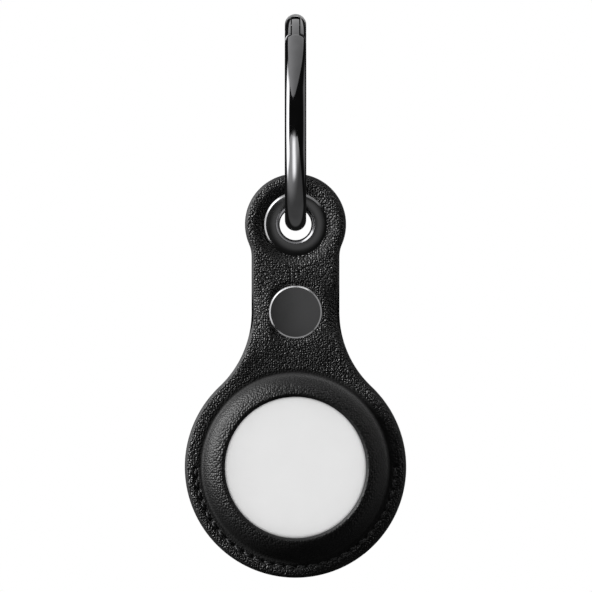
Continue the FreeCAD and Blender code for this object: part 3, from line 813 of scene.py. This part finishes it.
def mark_skin(piece, looks, outward, rim, from_pocket):
    """Mark painted edges, inner side, stretched leather and crease for the material."""
    dome_edge, dome_fade, lip_fade = 0.9 * MM, 0.4 * MM, 0.3 * MM
    paint_width, paint_fade, line_width = 0.6 * MM, 0.2 * MM, 0.35 * MM
    slope_start, slope_width, least_stretch = 1.6 * MM, 1.5 * MM, 0.6
    from_window = from_pocket - looks.window_radius
    from_crease = from_pocket - looks.crease_radius
    on_dome = ease((dome_edge - from_crease) / dome_fade)
    at_window = ease((looks.lip_round - from_window) / lip_fade)
    at_rim = ease((paint_width - rim) / paint_fade)
    cut_side = ease((0.75 - np.abs(outward)) / 0.3) * (1 - on_dome)
    slope = ease((from_window - slope_start) / slope_width)
    store(piece, "edge_paint", np.maximum(np.maximum(at_rim, cut_side), at_window))
    store(piece, "flesh_side", ease((-outward - 0.3) / 0.4))
    store(piece, "stretch", on_dome * (least_stretch + (1 - least_stretch) * slope))
    store(piece, "crease", bump_line(from_crease, line_width))


def work_skin(piece, looks, seam, side, outline, presses):
    """Pull the leather in round its metal and along its creases, and mark it for the material."""
    line_depth, line_inset, line_width = 0.09 * MM, 0.75 * MM, 0.2 * MM
    crease_depth, crease_width = 0.07 * MM, 0.26 * MM
    points, normals = read_skin(piece)
    outward = side * normals[:, 1]
    rim = np.array([outline.find((x, 0, z))[2] for x, y, z in points])
    from_pocket = np.hypot(points[:, 0], points[:, 2] - POCKET_Z)
    from_crease = from_pocket - looks.crease_radius
    push = pressed(points, presses) + curled(points, looks)
    push += line_depth * bump_line(rim - line_inset, line_width)
    if seam:
        push += stitched(points, from_pocket, seam)
    push += crease_depth * bump_line(from_crease, crease_width)
    push += sunk(points, from_crease, looks) + waved(points)
    points[:, 1] -= side * push * ease((outward - 0.1) / 0.5)
    piece.data.vertices.foreach_set("co", points.ravel())
    piece.data.update()
    store_flat(piece, points, from_pocket, looks.crease_radius)
    mark_skin(piece, looks, outward, rim, from_pocket)
    make_active(piece)
    bpy.ops.object.shade_smooth()


def pocket_half(name, looks, with_head, side):
    """Leather plate with the formed dome in place of its middle, and the plate's outline."""
    plate, outline = leather_plate(name, looks, with_head, side)
    cut(plate, plug(looks.crease_radius - DOME_LAP, POCKET_Z))
    return join([plate, dome(name + "_dome", looks, side)], name), outline


def shape_front(settings):
    """Front leather: head, neck and domed pocket face."""
    looks = settings.leather
    front, outline = pocket_half("front_leather", looks, True, FRONT)
    cut(front, plug(EYELET_HOLE, EYELET_Z))
    cut(front, plug(STUD_SEAT, SNAP_Z, front=-FRONT_SEAT_DEPTH))
    soften(front, looks)
    presses = [(EYELET_Z, FLANGE_RADIUS, FLANGE_PRESS, looks.press_depth),
               (SNAP_Z, CAP_RADIUS, CAP_PRESS, looks.press_depth / 4)]
    work_skin(front, looks, settings.seam, FRONT, outline, presses)
    finish_piece(front, "holder", "leather", leather_material(looks), "front_panel")


def shape_backing(settings):
    """Leather patch behind the head."""
    looks = settings.leather
    patch, outline = leather_plate("head_backing_leather", looks, True, REAR)
    width, drop = 60 * MM, 90 * MM
    cut(patch, block((0, 0, BACKING_Z - drop / 2), (width, width, drop)))
    cut(patch, plug(EYELET_HOLE, EYELET_Z))
    soften(patch, looks)
    presses = [(EYELET_Z, FLANGE_RADIUS, FLANGE_PRESS, looks.press_depth / 4)]
    work_skin(patch, looks, None, REAR, outline, presses)
    finish_piece(patch, "holder", "leather", leather_material(looks), "head_backing")


def shape_rear(settings):
    """Leather back: stitched pocket half and the flap up to the press stud, one piece of leather."""
    looks = settings.leather
    rear, outline = pocket_half("rear_leather", looks, False, REAR)
    cut(rear, plug(STUD_SEAT, SNAP_Z, rear=REAR_SEAT_DEPTH))
    cut(rear, plug(RIVET_HOLE, SNAP_Z))
    soften(rear, looks)
    presses = [(SNAP_Z, REAR_CAP_RADIUS, REAR_CAP_PRESS, looks.press_depth / 4)]
    work_skin(rear, looks, settings.seam, REAR, outline, presses)
    finish_piece(rear, None, "leather", leather_material(looks), "rear_pocket", "rear_flap")
    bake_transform(rear)


def one_stitch(seam):
    """Two twisted plies of thread along X at the origin, bowed up towards the front."""
    ply = seam.thread_width * 0.29
    offset = seam.thread_width * 0.24
    steps, twist, bow, narrowing = 8, math.radians(40), 0.42 * MM, 0.35
    half = seam.stitch_length / 2
    stride = seam.stitch_length / steps
    clear_selection()
    bpy.ops.mesh.primitive_circle_add(
        vertices=8, radius=ply, location=(-half, 0, offset), rotation=(0, QUARTER_TURN, 0))
    stitch = bpy.context.object
    settle()
    edit_all()
    bpy.ops.mesh.edge_face_add()
    for step in range(steps):
        bpy.ops.mesh.extrude_region_move(TRANSFORM_OT_translate={"value": (stride, 0, 0)})
        bpy.ops.transform.rotate(value=twist, orient_axis="X", center_override=(0, 0, 0))
    bpy.ops.mesh.select_all(action="SELECT")
    bpy.ops.mesh.duplicate()
    bpy.ops.transform.rotate(value=math.pi, orient_axis="X", center_override=(0, 0, 0))
    face_outwards()
    points = read_skin(stitch)[0]
    along = np.clip(np.abs(points[:, 0]) / half, 0, 1)
    points[:, 1] += bow * along ** 3
    points[:, 2] *= 1 - narrowing * along ** 4
    stitch.data.vertices.foreach_set("co", points.ravel())
    stitch.data.update()
    return stitch


def shape_seam(settings):
    """Rows of stitches on both faces, copied from one stitch."""
    seam = settings.seam
    stitch = one_stitch(seam)
    pieces = []
    depth = LEATHER - 0.12 * MM
    slant = math.radians(6)
    for number in range(seam.stitches):
        turn = math.pi * (number + 0.5) / seam.stitches
        x, z = seam.seam_radius * math.cos(turn), POCKET_Z - seam.seam_radius * math.sin(turn)
        for flip in (0, math.pi):
            copy = copied(stitch)
            pieces.append(copy)
            copy.rotation_euler = (0, turn + QUARTER_TURN + slant, 0)
            copy.location = (x, -depth, z)
            settle()
            copy.rotation_euler = (0, 0, flip)
            settle()
    bpy.data.objects.remove(stitch)
    row = join(pieces, "seam_stitches")
    make_active(row)
    bpy.ops.object.shade_smooth()
    finish_piece(row, "holder", "thread", thread_material(seam), "seam_thread")


# Metal

def plated_piece(settings, node, body, height, steps):
    """Turned piece with the satin plating of eyelet and press stud."""
    piece = turned(node + "_metal", height, steps)
    smooth(piece)
    finish_piece(piece, body, "gunmetal", gunmetal_cap(settings.metal), node)


def shape_eyelet(settings):
    """Eyelet with a rolled inner bead and a broad flange, and the washer behind it."""
    steps = [
        (3.0, -1.5),
        (3.02, -1.62),
        (3.27, -2.03),
        (3.31, -2.075),
        (3.34, -2.1),
        (3.62, -2.296),
        (3.66, -2.318),
        (3.7, -2.333),
        (3.76, -2.345),
        (4.4, -2.36),
        (5.0, -2.31),
        (5.55, -2.19),
        (5.6, -2.175),
        (5.64, -2.14),
        (5.88, -1.89),
        (5.96, -1.78),
        (6.0, -1.62),
        (6.0, -0.4),
        (3.45, -0.4),
        (3.45, 1.9),
        (4.05, 1.9),
        (3.65, 1.9, 3.65, 2.3),
        (3.65, 1.65, 3.0, 1.65),
        (3.0, -1.5),
    ]
    plated_piece(settings, "eyelet", "holder", EYELET_Z, steps)
    steps = [(3.5, 1.3), (6.0, 1.3), (6.0, 1.7), (5.8, 1.7, 5.8, 1.9), (3.5, 1.9), (3.5, 1.3)]
    plated_piece(settings, "eyelet_washer", "holder", EYELET_Z, steps)


def crown_centre(top, radius, sag):
    """Centre depth of a shallow crown that drops by its sag at a radius."""
    return top + math.copysign((radius ** 2 + sag ** 2) / (2 * abs(sag)), sag)


def shape_stud_caps(settings):
    """Front cap of the press stud with its flared post, and the rear rivet cap."""
    steps = [
        (0, -2.45),
        (0, crown_centre(-2.45, 4.72, 0.2), 4.72, -2.25),
        (4.96, -2.04),
        (4.8, -1.88, 5.1, -1.88),
        (5.1, -1.2),
        (1.2, -1.2),
        (1.2, -0.65),
        (1.7, -0.65),
        (1.7, -0.45),
        (0, -0.45),
    ]
    plated_piece(settings, "snap_cap", "holder", SNAP_Z, steps)
    steps = [
        (0, 2.1),
        (0, crown_centre(2.1, 3.88, -0.2), 3.88, 1.9),
        (3.88, 1.58, 4.2, 1.58),
        (4.2, 1.2),
        (1.1, 1.2),
        (1.1, -0.12),
        (0, -0.12),
    ]
    plated_piece(settings, "snap_rear_cap", "flap", SNAP_Z, steps)


# Ring

SPARE_ANGLE = math.radians(20)
ACROSS = 10 * MM


def on_ring(angle):
    """Point of the ring's centre line, at an angle from the top towards the front."""
    return Vector((0, -RING_RADIUS * math.sin(angle), RING_Z + RING_RADIUS * math.cos(angle)))


def along_ring(angle):
    """Direction of the ring at an angle, towards the front."""
    return Vector((0, -math.cos(angle), -math.sin(angle)))


def wire_arc(name, radius, start, end, rounding):
    """Ring wire between two angles from the top towards the front, the edge of its first end rounded."""
    sides, section = 96, math.radians(0.9)
    way = along_ring(start) * math.copysign(1, end - start)
    size, depth, steps = radius - rounding, 0, 5
    clear_selection()
    bpy.ops.mesh.primitive_circle_add(
        vertices=sides, radius=size, location=on_ring(start), rotation=(QUARTER_TURN + start, 0, 0))
    piece = bpy.context.object
    piece.name = name
    settle()
    edit_all()
    for step in range(1, steps + 1):
        turn = QUARTER_TURN * step / steps
        wider = radius - rounding * (1 - math.sin(turn))
        deeper = rounding * (1 - math.cos(turn))
        bpy.ops.mesh.extrude_region_move(TRANSFORM_OT_translate={"value": way * (deeper - depth)})
        bpy.ops.transform.resize(value=(wider / size,) * 3, center_override=on_ring(start) + way * deeper)
        size, depth = wider, deeper
    angle = end - start - math.copysign(depth / RING_RADIUS, end - start)
    sections = math.ceil(abs(angle) / section)
    bpy.ops.mesh.spin(steps=sections, angle=-angle, center=(0, 0, RING_Z), axis=ALONG_X)
    bpy.ops.mesh.select_all(action="SELECT")
    bpy.ops.mesh.fill_holes(sides=0)
    face_outwards()
    return piece


def cross_bar(centre, radius, width):
    """Rod along X that the ring's joints are cut with."""
    return rod(radius, width, centre, (0, QUARTER_TURN, 0), 160)


def pin_block(near, far, low, high, width):
    """Block at the hinge pin: from near to far along the ring, from low to high away from its centre."""
    along = along_ring(PIN_ANGLE)
    outwards = Vector((0, along.z, -along.y))
    centre = PIN + along * (near + far) / 2 + outwards * (low + high) / 2
    return block(centre, (width, far - near, high - low), PIN_ANGLE)


def gate_region(ring, growth):
    """Space of the gate at its closing end: a half lap that lets it swing inwards only."""
    narrow, wide, wider = 7 * MM, 8 * MM, 9 * MM
    chord = 2 * RING_RADIUS * math.sin(ring.gate_angle / 2)
    near = cross_bar(PIN, chord - ring.lap_length / 2 + growth, wide)
    far = cross_bar(PIN, chord + ring.lap_length / 2 + growth, narrow)
    cut(far, cross_bar((0, 0, RING_Z), RING_RADIUS + growth, wider), "INTERSECT")
    cut(near, far, "UNION")
    return near


def bore_direction(ring):
    """Direction of the spring's bore, from the hinge pin into the gate."""
    turn = 2 * math.asin(ring.bore_reach / 2 / RING_RADIUS)
    return (on_ring(PIN_ANGLE - turn) - PIN).normalized()


def bore_turn(way):
    """Turn about X that lays an upright shape along the bore."""
    return (math.atan2(-way.y, way.z), 0, 0)


def shape_body(ring, finish):
    """Ring body with its shoulder, tongue and half-lap nose."""
    shoulder = ring.cheek_reach + ring.shoulder_gap
    shoulder_angle = PIN_ANGLE + math.asin(shoulder / RING_RADIUS)
    nose_angle = FULL_TURN + PIN_ANGLE - ring.gate_angle + SPARE_ANGLE
    body = wire_arc("ring_metal", WIRE, shoulder_angle, nose_angle, ring.shoulder_round)
    nose = gate_region(ring, ring.lap_gap / 2)
    rear_centre, rear_size = (0, 18 * MM, 0), (20 * MM, 24 * MM, 80 * MM)
    cut(nose, block(rear_centre, rear_size), "INTERSECT")
    cut(body, nose)
    sink, root, long, tall, wide = 0.03 * MM, 1 * MM, 9 * MM, 4 * MM, 6 * MM
    tongue = wire_arc("tongue", WIRE - sink, PIN_ANGLE - SPARE_ANGLE, PIN_ANGLE + SPARE_ANGLE, sink)
    cut(tongue, pin_block(-long, shoulder + root, -tall, tall, ring.tongue_width), "INTERSECT")
    tip = pin_block(-long, 0, -tall - root, tall + root, wide)
    way = bore_direction(ring)
    cam = PIN + Vector((0, way.z, -way.y)) * ring.cam_offset
    cut(tip, cross_bar(cam, ring.tongue_radius, ACROSS))
    cut(tongue, tip)
    cut(body, tongue, "UNION")
    cut(body, cross_bar(PIN, ring.pin_hole, ACROSS))
    smooth(body)
    finish_piece(body, "ring", "gunmetal", finish, "ring_body")


def shape_gate(ring, finish):
    """Gate with its fork, pin holes, spring bore and half lap."""
    cheek_angle = PIN_ANGLE + math.asin(ring.cheek_reach / RING_RADIUS)
    lap_angle = PIN_ANGLE - ring.gate_angle - SPARE_ANGLE
    gate = wire_arc("gate_metal", WIRE, cheek_angle, lap_angle, ring.cheek_round)
    cut(gate, gate_region(ring, -ring.lap_gap / 2), "INTERSECT")
    tall, wide = 4 * MM, 6 * MM
    heel = pin_block(0, wide, -tall, 0, wide)
    cut(heel, cross_bar(PIN, ring.cheek_reach, ACROSS))
    cut(gate, heel)
    cut(gate, cross_bar(PIN, ring.slot_radius, ring.slot_width))
    cut(gate, cross_bar(PIN, ring.pin_press, ACROSS))
    way = bore_direction(ring)
    bore = rod(ring.bore_radius, ring.bore_reach, PIN + way * ring.bore_reach / 2, bore_turn(way), 48)
    cut(gate, bore)
    smooth(gate)
    finish_piece(gate, "gate", "gunmetal", finish, "gate_arm")


def shape_ring(settings):
    """Ring body and its forked gate."""
    finish = gunmetal_ring(settings.metal)
    shape_body(settings.ring, finish)
    shape_gate(settings.ring, finish)


def shape_spring(settings):
    """Coil spring in the gate, from the end of its bore to the plunger."""
    ring = settings.ring
    way = bore_direction(ring)
    thin, gap, steps = ring.spring_wire / 2, 0.01 * MM, 24
    reach = ring.bore_reach - thin - gap - ring.spring_start
    first = PIN + way * ring.spring_start
    clear_selection()
    bpy.ops.mesh.primitive_circle_add(vertices=12, radius=thin)
    spring = bpy.context.object
    spring.name = "gate_spring_wire"
    edit_all()
    bpy.ops.transform.rotate(value=QUARTER_TURN, orient_axis="X", center_override=(0, 0, 0))
    bpy.ops.transform.translate(value=(ring.spring_coil, 0, 0))
    bpy.ops.object.mode_set(mode="OBJECT")
    apply_modifier(spring, "SCREW", axis="Z", angle=FULL_TURN, iterations=ring.spring_turns,
                   screw_offset=reach / ring.spring_turns, steps=steps, render_steps=steps)
    spring.location = first
    spring.rotation_euler = bore_turn(way)
    settle()
    edit_all()
    bpy.ops.mesh.fill_holes(sides=0)
    face_outwards()
    smooth(spring, 50.0)
    finish_piece(spring, None, "plated_steel", plated_steel(settings.metal), "gate_spring")
    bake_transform(spring)


# Tracker, with the distance of its crowns' centres from its middle in millimetres

CROWN = 162.01


def shape_tag(settings):
    """White front shell of the tracker, a shallow gloss dome."""
    steps = [
        (0, -4.0),
        (0, CROWN, 13.0, -3.49),
        (12.75, -0.3, 15.95, -0.3),
        (15.95, 0.3),
        (15.15, 0.3),
        (15.15, -0.3),
        (12.75, -0.3, 12.94, -2.69),
        (0, CROWN, 0, -3.2),
    ]
    shell = turned("tag_front_shell", POCKET_Z, steps, sides=144, spacing=0.5)
    smooth(shell)
    finish_piece(shell, "tag", "tag_white", white_plastic(settings.tag), "tag_cover")


def shape_cover(settings):
    """Steel twist-off cover at the tracker's back, with three bayonet lugs."""
    steps = [
        (0, 4.0),
        (0, -CROWN, 12.45, 3.5325),
        (12.45, 3.3825, 12.6, 3.3825),
        (12.6, 2.33),
        (12.1, 2.33),
        (12.1, 3.2075),
        (0, -CROWN, 0, 3.65),
    ]
    cover = turned("battery_cover_steel", POCKET_Z, steps, sides=144, spacing=0.5)
    lug_centre = (12.85 * MM, 2.555 * MM, POCKET_Z)
    lug_size = (1.1 * MM, 0.45 * MM, 3.5 * MM)
    lug = block(lug_centre, lug_size)
    settle()
    apply_modifier(lug, "BEVEL", width=0.08 * MM, segments=2)
    lugs = [lug]
    for number in (1, 2):
        lugs.append(copied(lug))
        edit_all()
        turn = FULL_TURN * number / 3
        bpy.ops.transform.rotate(value=turn, orient_axis="Y", center_override=(0, 0, POCKET_Z))
        bpy.ops.object.mode_set(mode="OBJECT")
    cover = join([cover] + lugs, "battery_cover_steel")
    smooth(cover)
    steel = metal_material("polished_steel_finish", settings.metal.steel, 0.28, 0.01, 40.0, 0.5 * MICRON)
    finish_piece(cover, "tag_back", "polished_steel", steel, "battery_cover")


def dress_nodes(settings):
    """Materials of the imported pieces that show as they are."""
    tag = settings.tag
    plated = plated_steel(settings.metal)
    gold = metal_material("gold_contact", (0.75, 0.6, 0.3), 0.28, 0.05, 500.0, 4 * MICRON)
    finishes = {
        "gate_pin": gunmetal_ring(settings.metal),
        "snap_socket": plated,
        "snap_stud": plated,
        "snap_spring": plated,
        "gate_plunger": plated,
        "tag_base": white_plastic(tag),
        "tag_chassis": plastic_material("black_moulded_plastic", tag.inner, 0.5, 0.0, 10 * MICRON),
        "circuit_board": plastic_material("solder_mask", tag.board, 0.4, 0.2, 10 * MICRON),
        "speaker_magnet": metal_material("magnet_plating", (0.35, 0.35, 0.36), 0.35, 0.05, 500.0, 4 * MICRON),
        "voice_coil": metal_material("copper_winding", (0.62, 0.3, 0.16), 0.35, 0.06, 900.0, 10 * MICRON),
        "contact_negative": gold,
        "contacts_positive": gold,
        "coin_cell": metal_material("cell_can", (0.62, 0.62, 0.63), 0.3, 0.05, 400.0, 4 * MICRON),
    }
    for node, material in finishes.items():
        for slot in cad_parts[node].material_slots:
            slot.material = material


# Stage

def shade_panel(lamp, across_core, along_core, lean=((1, 0), (0, 1), (1, 1))):
    """Let a panel fade outside its core, measured from its middle, and lean along a direction of its face."""
    lamp.data.use_nodes = True
    tree = lamp.data.node_tree
    tree.nodes.clear()
    graph = Graph(tree)
    spot = graph.add("ShaderNodeNewGeometry").outputs["Parametric"]
    spot = graph.add("ShaderNodeSeparateXYZ", {0: spot}).outputs
    way, reach, values = lean
    across = graph.calc("MULTIPLY", spot["X"], way[0])
    strength = graph.spread(graph.calc("MULTIPLY_ADD", spot["Y"], way[1], across), *reach, *values)
    for place, core in ((spot["X"], across_core), (spot["Y"], along_core)):
        if core < 0.5:
            off = graph.calc("ABSOLUTE", graph.calc("SUBTRACT", place, 0.5))
            strength = graph.calc("MULTIPLY", strength, graph.spread(off, 0.5, core))
    emission = graph.add("ShaderNodeEmission", {"Strength": strength})
    graph.add("ShaderNodeOutputLight", {"Surface": emission.outputs[0]})


def gathered(name, pieces):
    """Collection of pieces for a lamp."""
    group = bpy.data.collections.new(name)
    for piece in pieces:
        group.objects.link(piece)
    return group


def add_panel(name, place, aim, size, power, pieces, blockers=(), fade=None, turn=None, shape="RECTANGLE"):
    """Soft light, aimed or turned, that lights only some pieces, with shadows of some others."""
    clear_selection()
    if turn is None:
        turn = (Vector(aim) - Vector(place)).to_track_quat("-Z", "Y").to_euler()
    bpy.ops.object.light_add(type="AREA", location=place, rotation=turn)
    lamp = bpy.context.object
    lamp.name = name
    lamp.data.shape = shape
    lamp.data.size, lamp.data.size_y = size
    lamp.data.energy = power
    lamp.visible_camera = False
    lamp.light_linking.receiver_collection = gathered(name + "_receivers", pieces)
    if blockers:
        lamp.light_linking.blocker_collection = gathered(name + "_blockers", blockers)
    if fade:
        shade_panel(lamp, *fade)


def studio_world(stage):
    """White for the camera, dark in mirrors, even soft light for the rest."""
    world = bpy.data.worlds.new("studio")
    bpy.context.scene.world = world
    world.use_nodes = True
    tree = world.node_tree
    tree.nodes.clear()
    graph = Graph(tree)
    rays = graph.add("ShaderNodeLightPath").outputs
    mirror = (0.015, 0.015, 0.015, 1)
    shiny = graph.calc("ADD", rays["Is Glossy Ray"], rays["Is Transmission Ray"], clamp=True)
    even = (stage.ambient, stage.ambient, stage.ambient, 1)
    colour = graph.blend(shiny, even, mirror)
    colour = graph.blend(rays["Is Camera Ray"], colour, (1, 1, 1, 1))
    background = graph.add("ShaderNodeBackground", {"Color": colour, "Strength": 1.0})
    graph.add("ShaderNodeOutputWorld", {"Surface": background.outputs[0]})


def set_floor(stage):
    """Pale floor far below the hanging holder."""
    clear_selection()
    bpy.ops.mesh.primitive_circle_add(
        vertices=96, radius=1.7, fill_type="NGON", location=(0, 0, stage.floor_z))
    floor = bpy.context.object
    floor.name = "floor"
    bpy.ops.object.transform_apply(location=True)
    material, graph, shader = new_material("pale_floor", Roughness=0.8, Emission_Color=(1, 1, 1, 1))
    tone = graph.blend(mottled(graph, 6.0)["Patch"], (0.86, 0.86, 0.86, 1), (0.9, 0.9, 0.9, 1))
    graph.tree.links.new(tone, shader.inputs["Base Color"])
    seen = graph.add("ShaderNodeLightPath").outputs["Is Camera Ray"]
    graph.tree.links.new(graph.calc("MULTIPLY", seen, stage.floor_lift), shader.inputs["Emission Strength"])
    floor.data.materials.append(material)


def named(*names):
    """Objects of some names."""
    return [bpy.data.objects[name] for name in names]


def set_lamps(stage):
    """Studio lights, each kept to the pieces that it shapes."""
    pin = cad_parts["gate_pin"]
    ring = named("ring_metal", "gate_metal") + [pin]
    meshes = [piece for piece in bpy.data.objects if piece.type == "MESH"]
    for piece in meshes:
        if piece not in ring:
            piece.visible_glossy = False
    caps = named("eyelet_metal", "snap_cap_metal", "snap_rear_cap_metal")
    eyelet, cap, rear_cap = caps
    leather = named("front_leather", "head_backing_leather", "rear_leather", "seam_stitches")
    shell = named("tag_front_shell")
    soft = leather + shell
    metal = [piece for piece in meshes if piece not in soft + [pin]]
    behind = named("head_backing_leather", "rear_leather", "eyelet_washer_metal", "battery_cover_steel")
    low = (0, 0, -60 * MM)
    high = (0, 0, -20 * MM)
    soft_fade = (0.0, 0.2)
    top_turn = (0, 0, math.radians(-26.8))
    top_fade = (0.5, 0.5, ((1, 0), (0, 1), (1.35, 0.65)))
    glow_fade = (0.47, 0.4, ((1.308, -1.76), (0.0, 0.42), (1.5, 0.22)))
    right_power = stage.side_power * 0.12
    inner_power = stage.rear_power * 0.3
    add_panel("left_strip", (-0.6, 0.02, -0.01), high, (0.5, 0.8), stage.rim_power, ring, fade=(0.32, 0.25))
    add_panel("left_card", (-0.6, 0, 0.1), low, (0.3, 1.2), stage.edge_power, [eyelet, cap], caps)
    add_panel("bead_card", (-0.36, -0.2, 0.32), low, (0.4, 0.4), stage.bead_power, [eyelet], caps)
    add_panel("left_softbox", (-0.52, 0.05, 0.42), low, (0.4, 0.4), stage.key_power, soft + [eyelet, cap])
    add_panel("side_softbox", (-0.44, -0.1, 0.14), low, (0.14, 0.22), stage.side_power, leather, soft)
    add_panel("front_card", (0.1, -0.9, 0), low, (0.8, 0.8), stage.card_power, [eyelet, cap], fade=soft_fade)
    add_panel("right_card", (0.5, -0.02, -0.06), low, (0.4, 0.9), stage.tent_power, [cap])
    add_panel("under_card", (0, -0.02, -0.55), low, (0.9, 0.4), stage.tent_power, [cap], caps)
    add_panel("over_card", (0, -0.05, 0.45), low, (0.6, 0.2), stage.tent_power, [cap], caps)
    add_panel("right_softbox", (0.36, -0.05, 0.4), low, (0.2, 0.2), right_power, leather, soft)
    add_panel("front_softbox", (0, -0.9, -0.08), low, (0.5, 0.5), stage.front_power, shell)
    add_panel("top_panel", (-0.1, 0.1, 0.64), None, (1.74, 3.0), stage.top_power, metal,
              fade=top_fade, turn=top_turn, shape="ELLIPSE")
    add_panel("sky_panel", (-0.1, 0.7, 0.64), None, (1.74, 1.8), stage.sky_power, soft,
              turn=(0, 0, 0), shape="ELLIPSE")
    add_panel("back_card", (0, 1.6, 0.5), high, (0.7, 0.7), stage.back_power, ring, ring)
    add_panel("rear_softbox", (0.3, 0.9, 0.25), low, (0.8, 0.8), stage.rear_power, behind)
    add_panel("rear_card", (0.3, 0.9, 0.25), low, (0.8, 0.8), inner_power, [leather[0], rear_cap])
    add_panel("right_strip", (0.6, -0.02, -0.02), high, (0.08, 0.5), stage.fill_power, soft)
    add_panel("right_panel", (0.564, 0.205, 0), high, (0.53, 0.5), stage.dusk_power, ring, ring,
              fade=(0.2, 0.3))
    add_panel("low_softbox", (-0.13, -0.4, -0.34), high, (0.56, 0.6), stage.streak_power, ring, ring,
              fade=soft_fade)
    add_panel("low_panel", (-0.51, -0.4, -0.42), None, (2.18, 2.2), stage.glow_power, ring,
              fade=glow_fade, turn=(math.pi, 0, 0))
    add_panel("under_panel", (0, 0.1, -0.5), high, (0.8, 0.6), stage.under_power, ring, ring)


def set_camera(stage):
    """Camera at the picture's angle."""
    sensor = 36.0
    clear_selection()
    bpy.ops.object.camera_add(
        location=(stage.view_x, -stage.view_distance - LEATHER, stage.view_z), rotation=(QUARTER_TURN, 0, 0))
    camera = bpy.context.object
    camera.data.sensor_width = sensor
    camera.data.lens = sensor * stage.view_distance / stage.view_width
    camera.data.clip_start = 0.01
    camera.data.clip_end = 10.0
    bpy.context.scene.camera = camera


def set_stage(settings):
    """Floor, world, studio lights and camera."""
    bpy.context.scene.view_settings.view_transform = "Standard"
    set_floor(settings.stage)
    studio_world(settings.stage)
    set_lamps(settings.stage)
    set_camera(settings.stage)


# Operators

class TAGHOLDER_OT_front(Operator):
    """Build the front leather."""
    bl_idname = "tagholder.front"
    bl_label = "Front Leather"

    def execute(self, context):
        shape_front(context.scene.tag_holder)
        return {"FINISHED"}


class TAGHOLDER_OT_backing(Operator):
    """Build the leather patch behind the head."""
    bl_idname = "tagholder.backing"
    bl_label = "Head Backing"

    def execute(self, context):
        shape_backing(context.scene.tag_holder)
        return {"FINISHED"}


class TAGHOLDER_OT_rear(Operator):
    """Build the leather back with its flap."""
    bl_idname = "tagholder.rear"
    bl_label = "Rear Leather"

    def execute(self, context):
        shape_rear(context.scene.tag_holder)
        return {"FINISHED"}


class TAGHOLDER_OT_seam(Operator):
    """Build the rows of stitches."""
    bl_idname = "tagholder.seam"
    bl_label = "Stitches"

    def execute(self, context):
        shape_seam(context.scene.tag_holder)
        return {"FINISHED"}


class TAGHOLDER_OT_eyelet(Operator):
    """Build the eyelet and its washer."""
    bl_idname = "tagholder.eyelet"
    bl_label = "Eyelet"

    def execute(self, context):
        shape_eyelet(context.scene.tag_holder)
        return {"FINISHED"}


class TAGHOLDER_OT_stud_caps(Operator):
    """Build the caps of the press stud."""
    bl_idname = "tagholder.stud_caps"
    bl_label = "Press Stud Caps"

    def execute(self, context):
        shape_stud_caps(context.scene.tag_holder)
        return {"FINISHED"}


class TAGHOLDER_OT_ring(Operator):
    """Build the ring and its spring gate."""
    bl_idname = "tagholder.ring"
    bl_label = "Ring"

    def execute(self, context):
        shape_ring(context.scene.tag_holder)
        return {"FINISHED"}


class TAGHOLDER_OT_spring(Operator):
    """Build the gate's coil spring."""
    bl_idname = "tagholder.spring"
    bl_label = "Gate Spring"

    def execute(self, context):
        shape_spring(context.scene.tag_holder)
        return {"FINISHED"}


class TAGHOLDER_OT_tag(Operator):
    """Build the tracker's front shell."""
    bl_idname = "tagholder.tag"
    bl_label = "Tracker Shell"

    def execute(self, context):
        shape_tag(context.scene.tag_holder)
        return {"FINISHED"}


class TAGHOLDER_OT_cover(Operator):
    """Build the tracker's battery cover."""
    bl_idname = "tagholder.cover"
    bl_label = "Battery Cover"

    def execute(self, context):
        shape_cover(context.scene.tag_holder)
        return {"FINISHED"}


class TAGHOLDER_OT_finishes(Operator):
    """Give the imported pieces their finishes."""
    bl_idname = "tagholder.finishes"
    bl_label = "Finishes"

    def execute(self, context):
        dress_nodes(context.scene.tag_holder)
        return {"FINISHED"}


class TAGHOLDER_OT_stage(Operator):
    """Set up floor, lights and camera."""
    bl_idname = "tagholder.stage"
    bl_label = "Stage"

    def execute(self, context):
        set_stage(context.scene.tag_holder)
        return {"FINISHED"}


STEPS = (
    TAGHOLDER_OT_front, TAGHOLDER_OT_backing, TAGHOLDER_OT_rear, TAGHOLDER_OT_seam, TAGHOLDER_OT_eyelet,
    TAGHOLDER_OT_stud_caps, TAGHOLDER_OT_ring, TAGHOLDER_OT_spring, TAGHOLDER_OT_tag, TAGHOLDER_OT_cover,
    TAGHOLDER_OT_finishes, TAGHOLDER_OT_stage,
)


class TAGHOLDER_PT_panel(Panel):
    """Sidebar list of the holder's build steps and settings."""
    bl_label = "Tag Holder"
    bl_idname = "TAGHOLDER_PT_panel"
    bl_space_type = "VIEW_3D"
    bl_region_type = "UI"
    bl_category = "Tag Holder"

    def draw(self, context):
        settings = context.scene.tag_holder
        for step in STEPS:
            self.layout.operator(step.bl_idname)
        for part in settings.__annotations__:
            group = getattr(settings, part)
            box = self.layout.box()
            for name in group.__annotations__:
                box.prop(group, name)


GROUPS = (
    LeatherSettings, SeamSettings, MetalSettings, RingSettings, TagSettings, StageSettings, HolderSettings,
)


def register():
    """Register settings, build steps and panel."""
    for kind in GROUPS + STEPS + (TAGHOLDER_PT_panel,):
        bpy.utils.register_class(kind)
    bpy.types.Scene.tag_holder = PointerProperty(type=HolderSettings)


def unregister():
    """Remove settings, build steps and panel."""
    del bpy.types.Scene.tag_holder
    for kind in reversed(GROUPS + STEPS + (TAGHOLDER_PT_panel,)):
        bpy.utils.unregister_class(kind)


def main():
    """Build everything in order."""
    register()
    for step in STEPS:
        group, name = step.bl_idname.split(".")
        getattr(getattr(bpy.ops, group), name)()
    clear_selection()


if __name__ == "__main__":
    main()
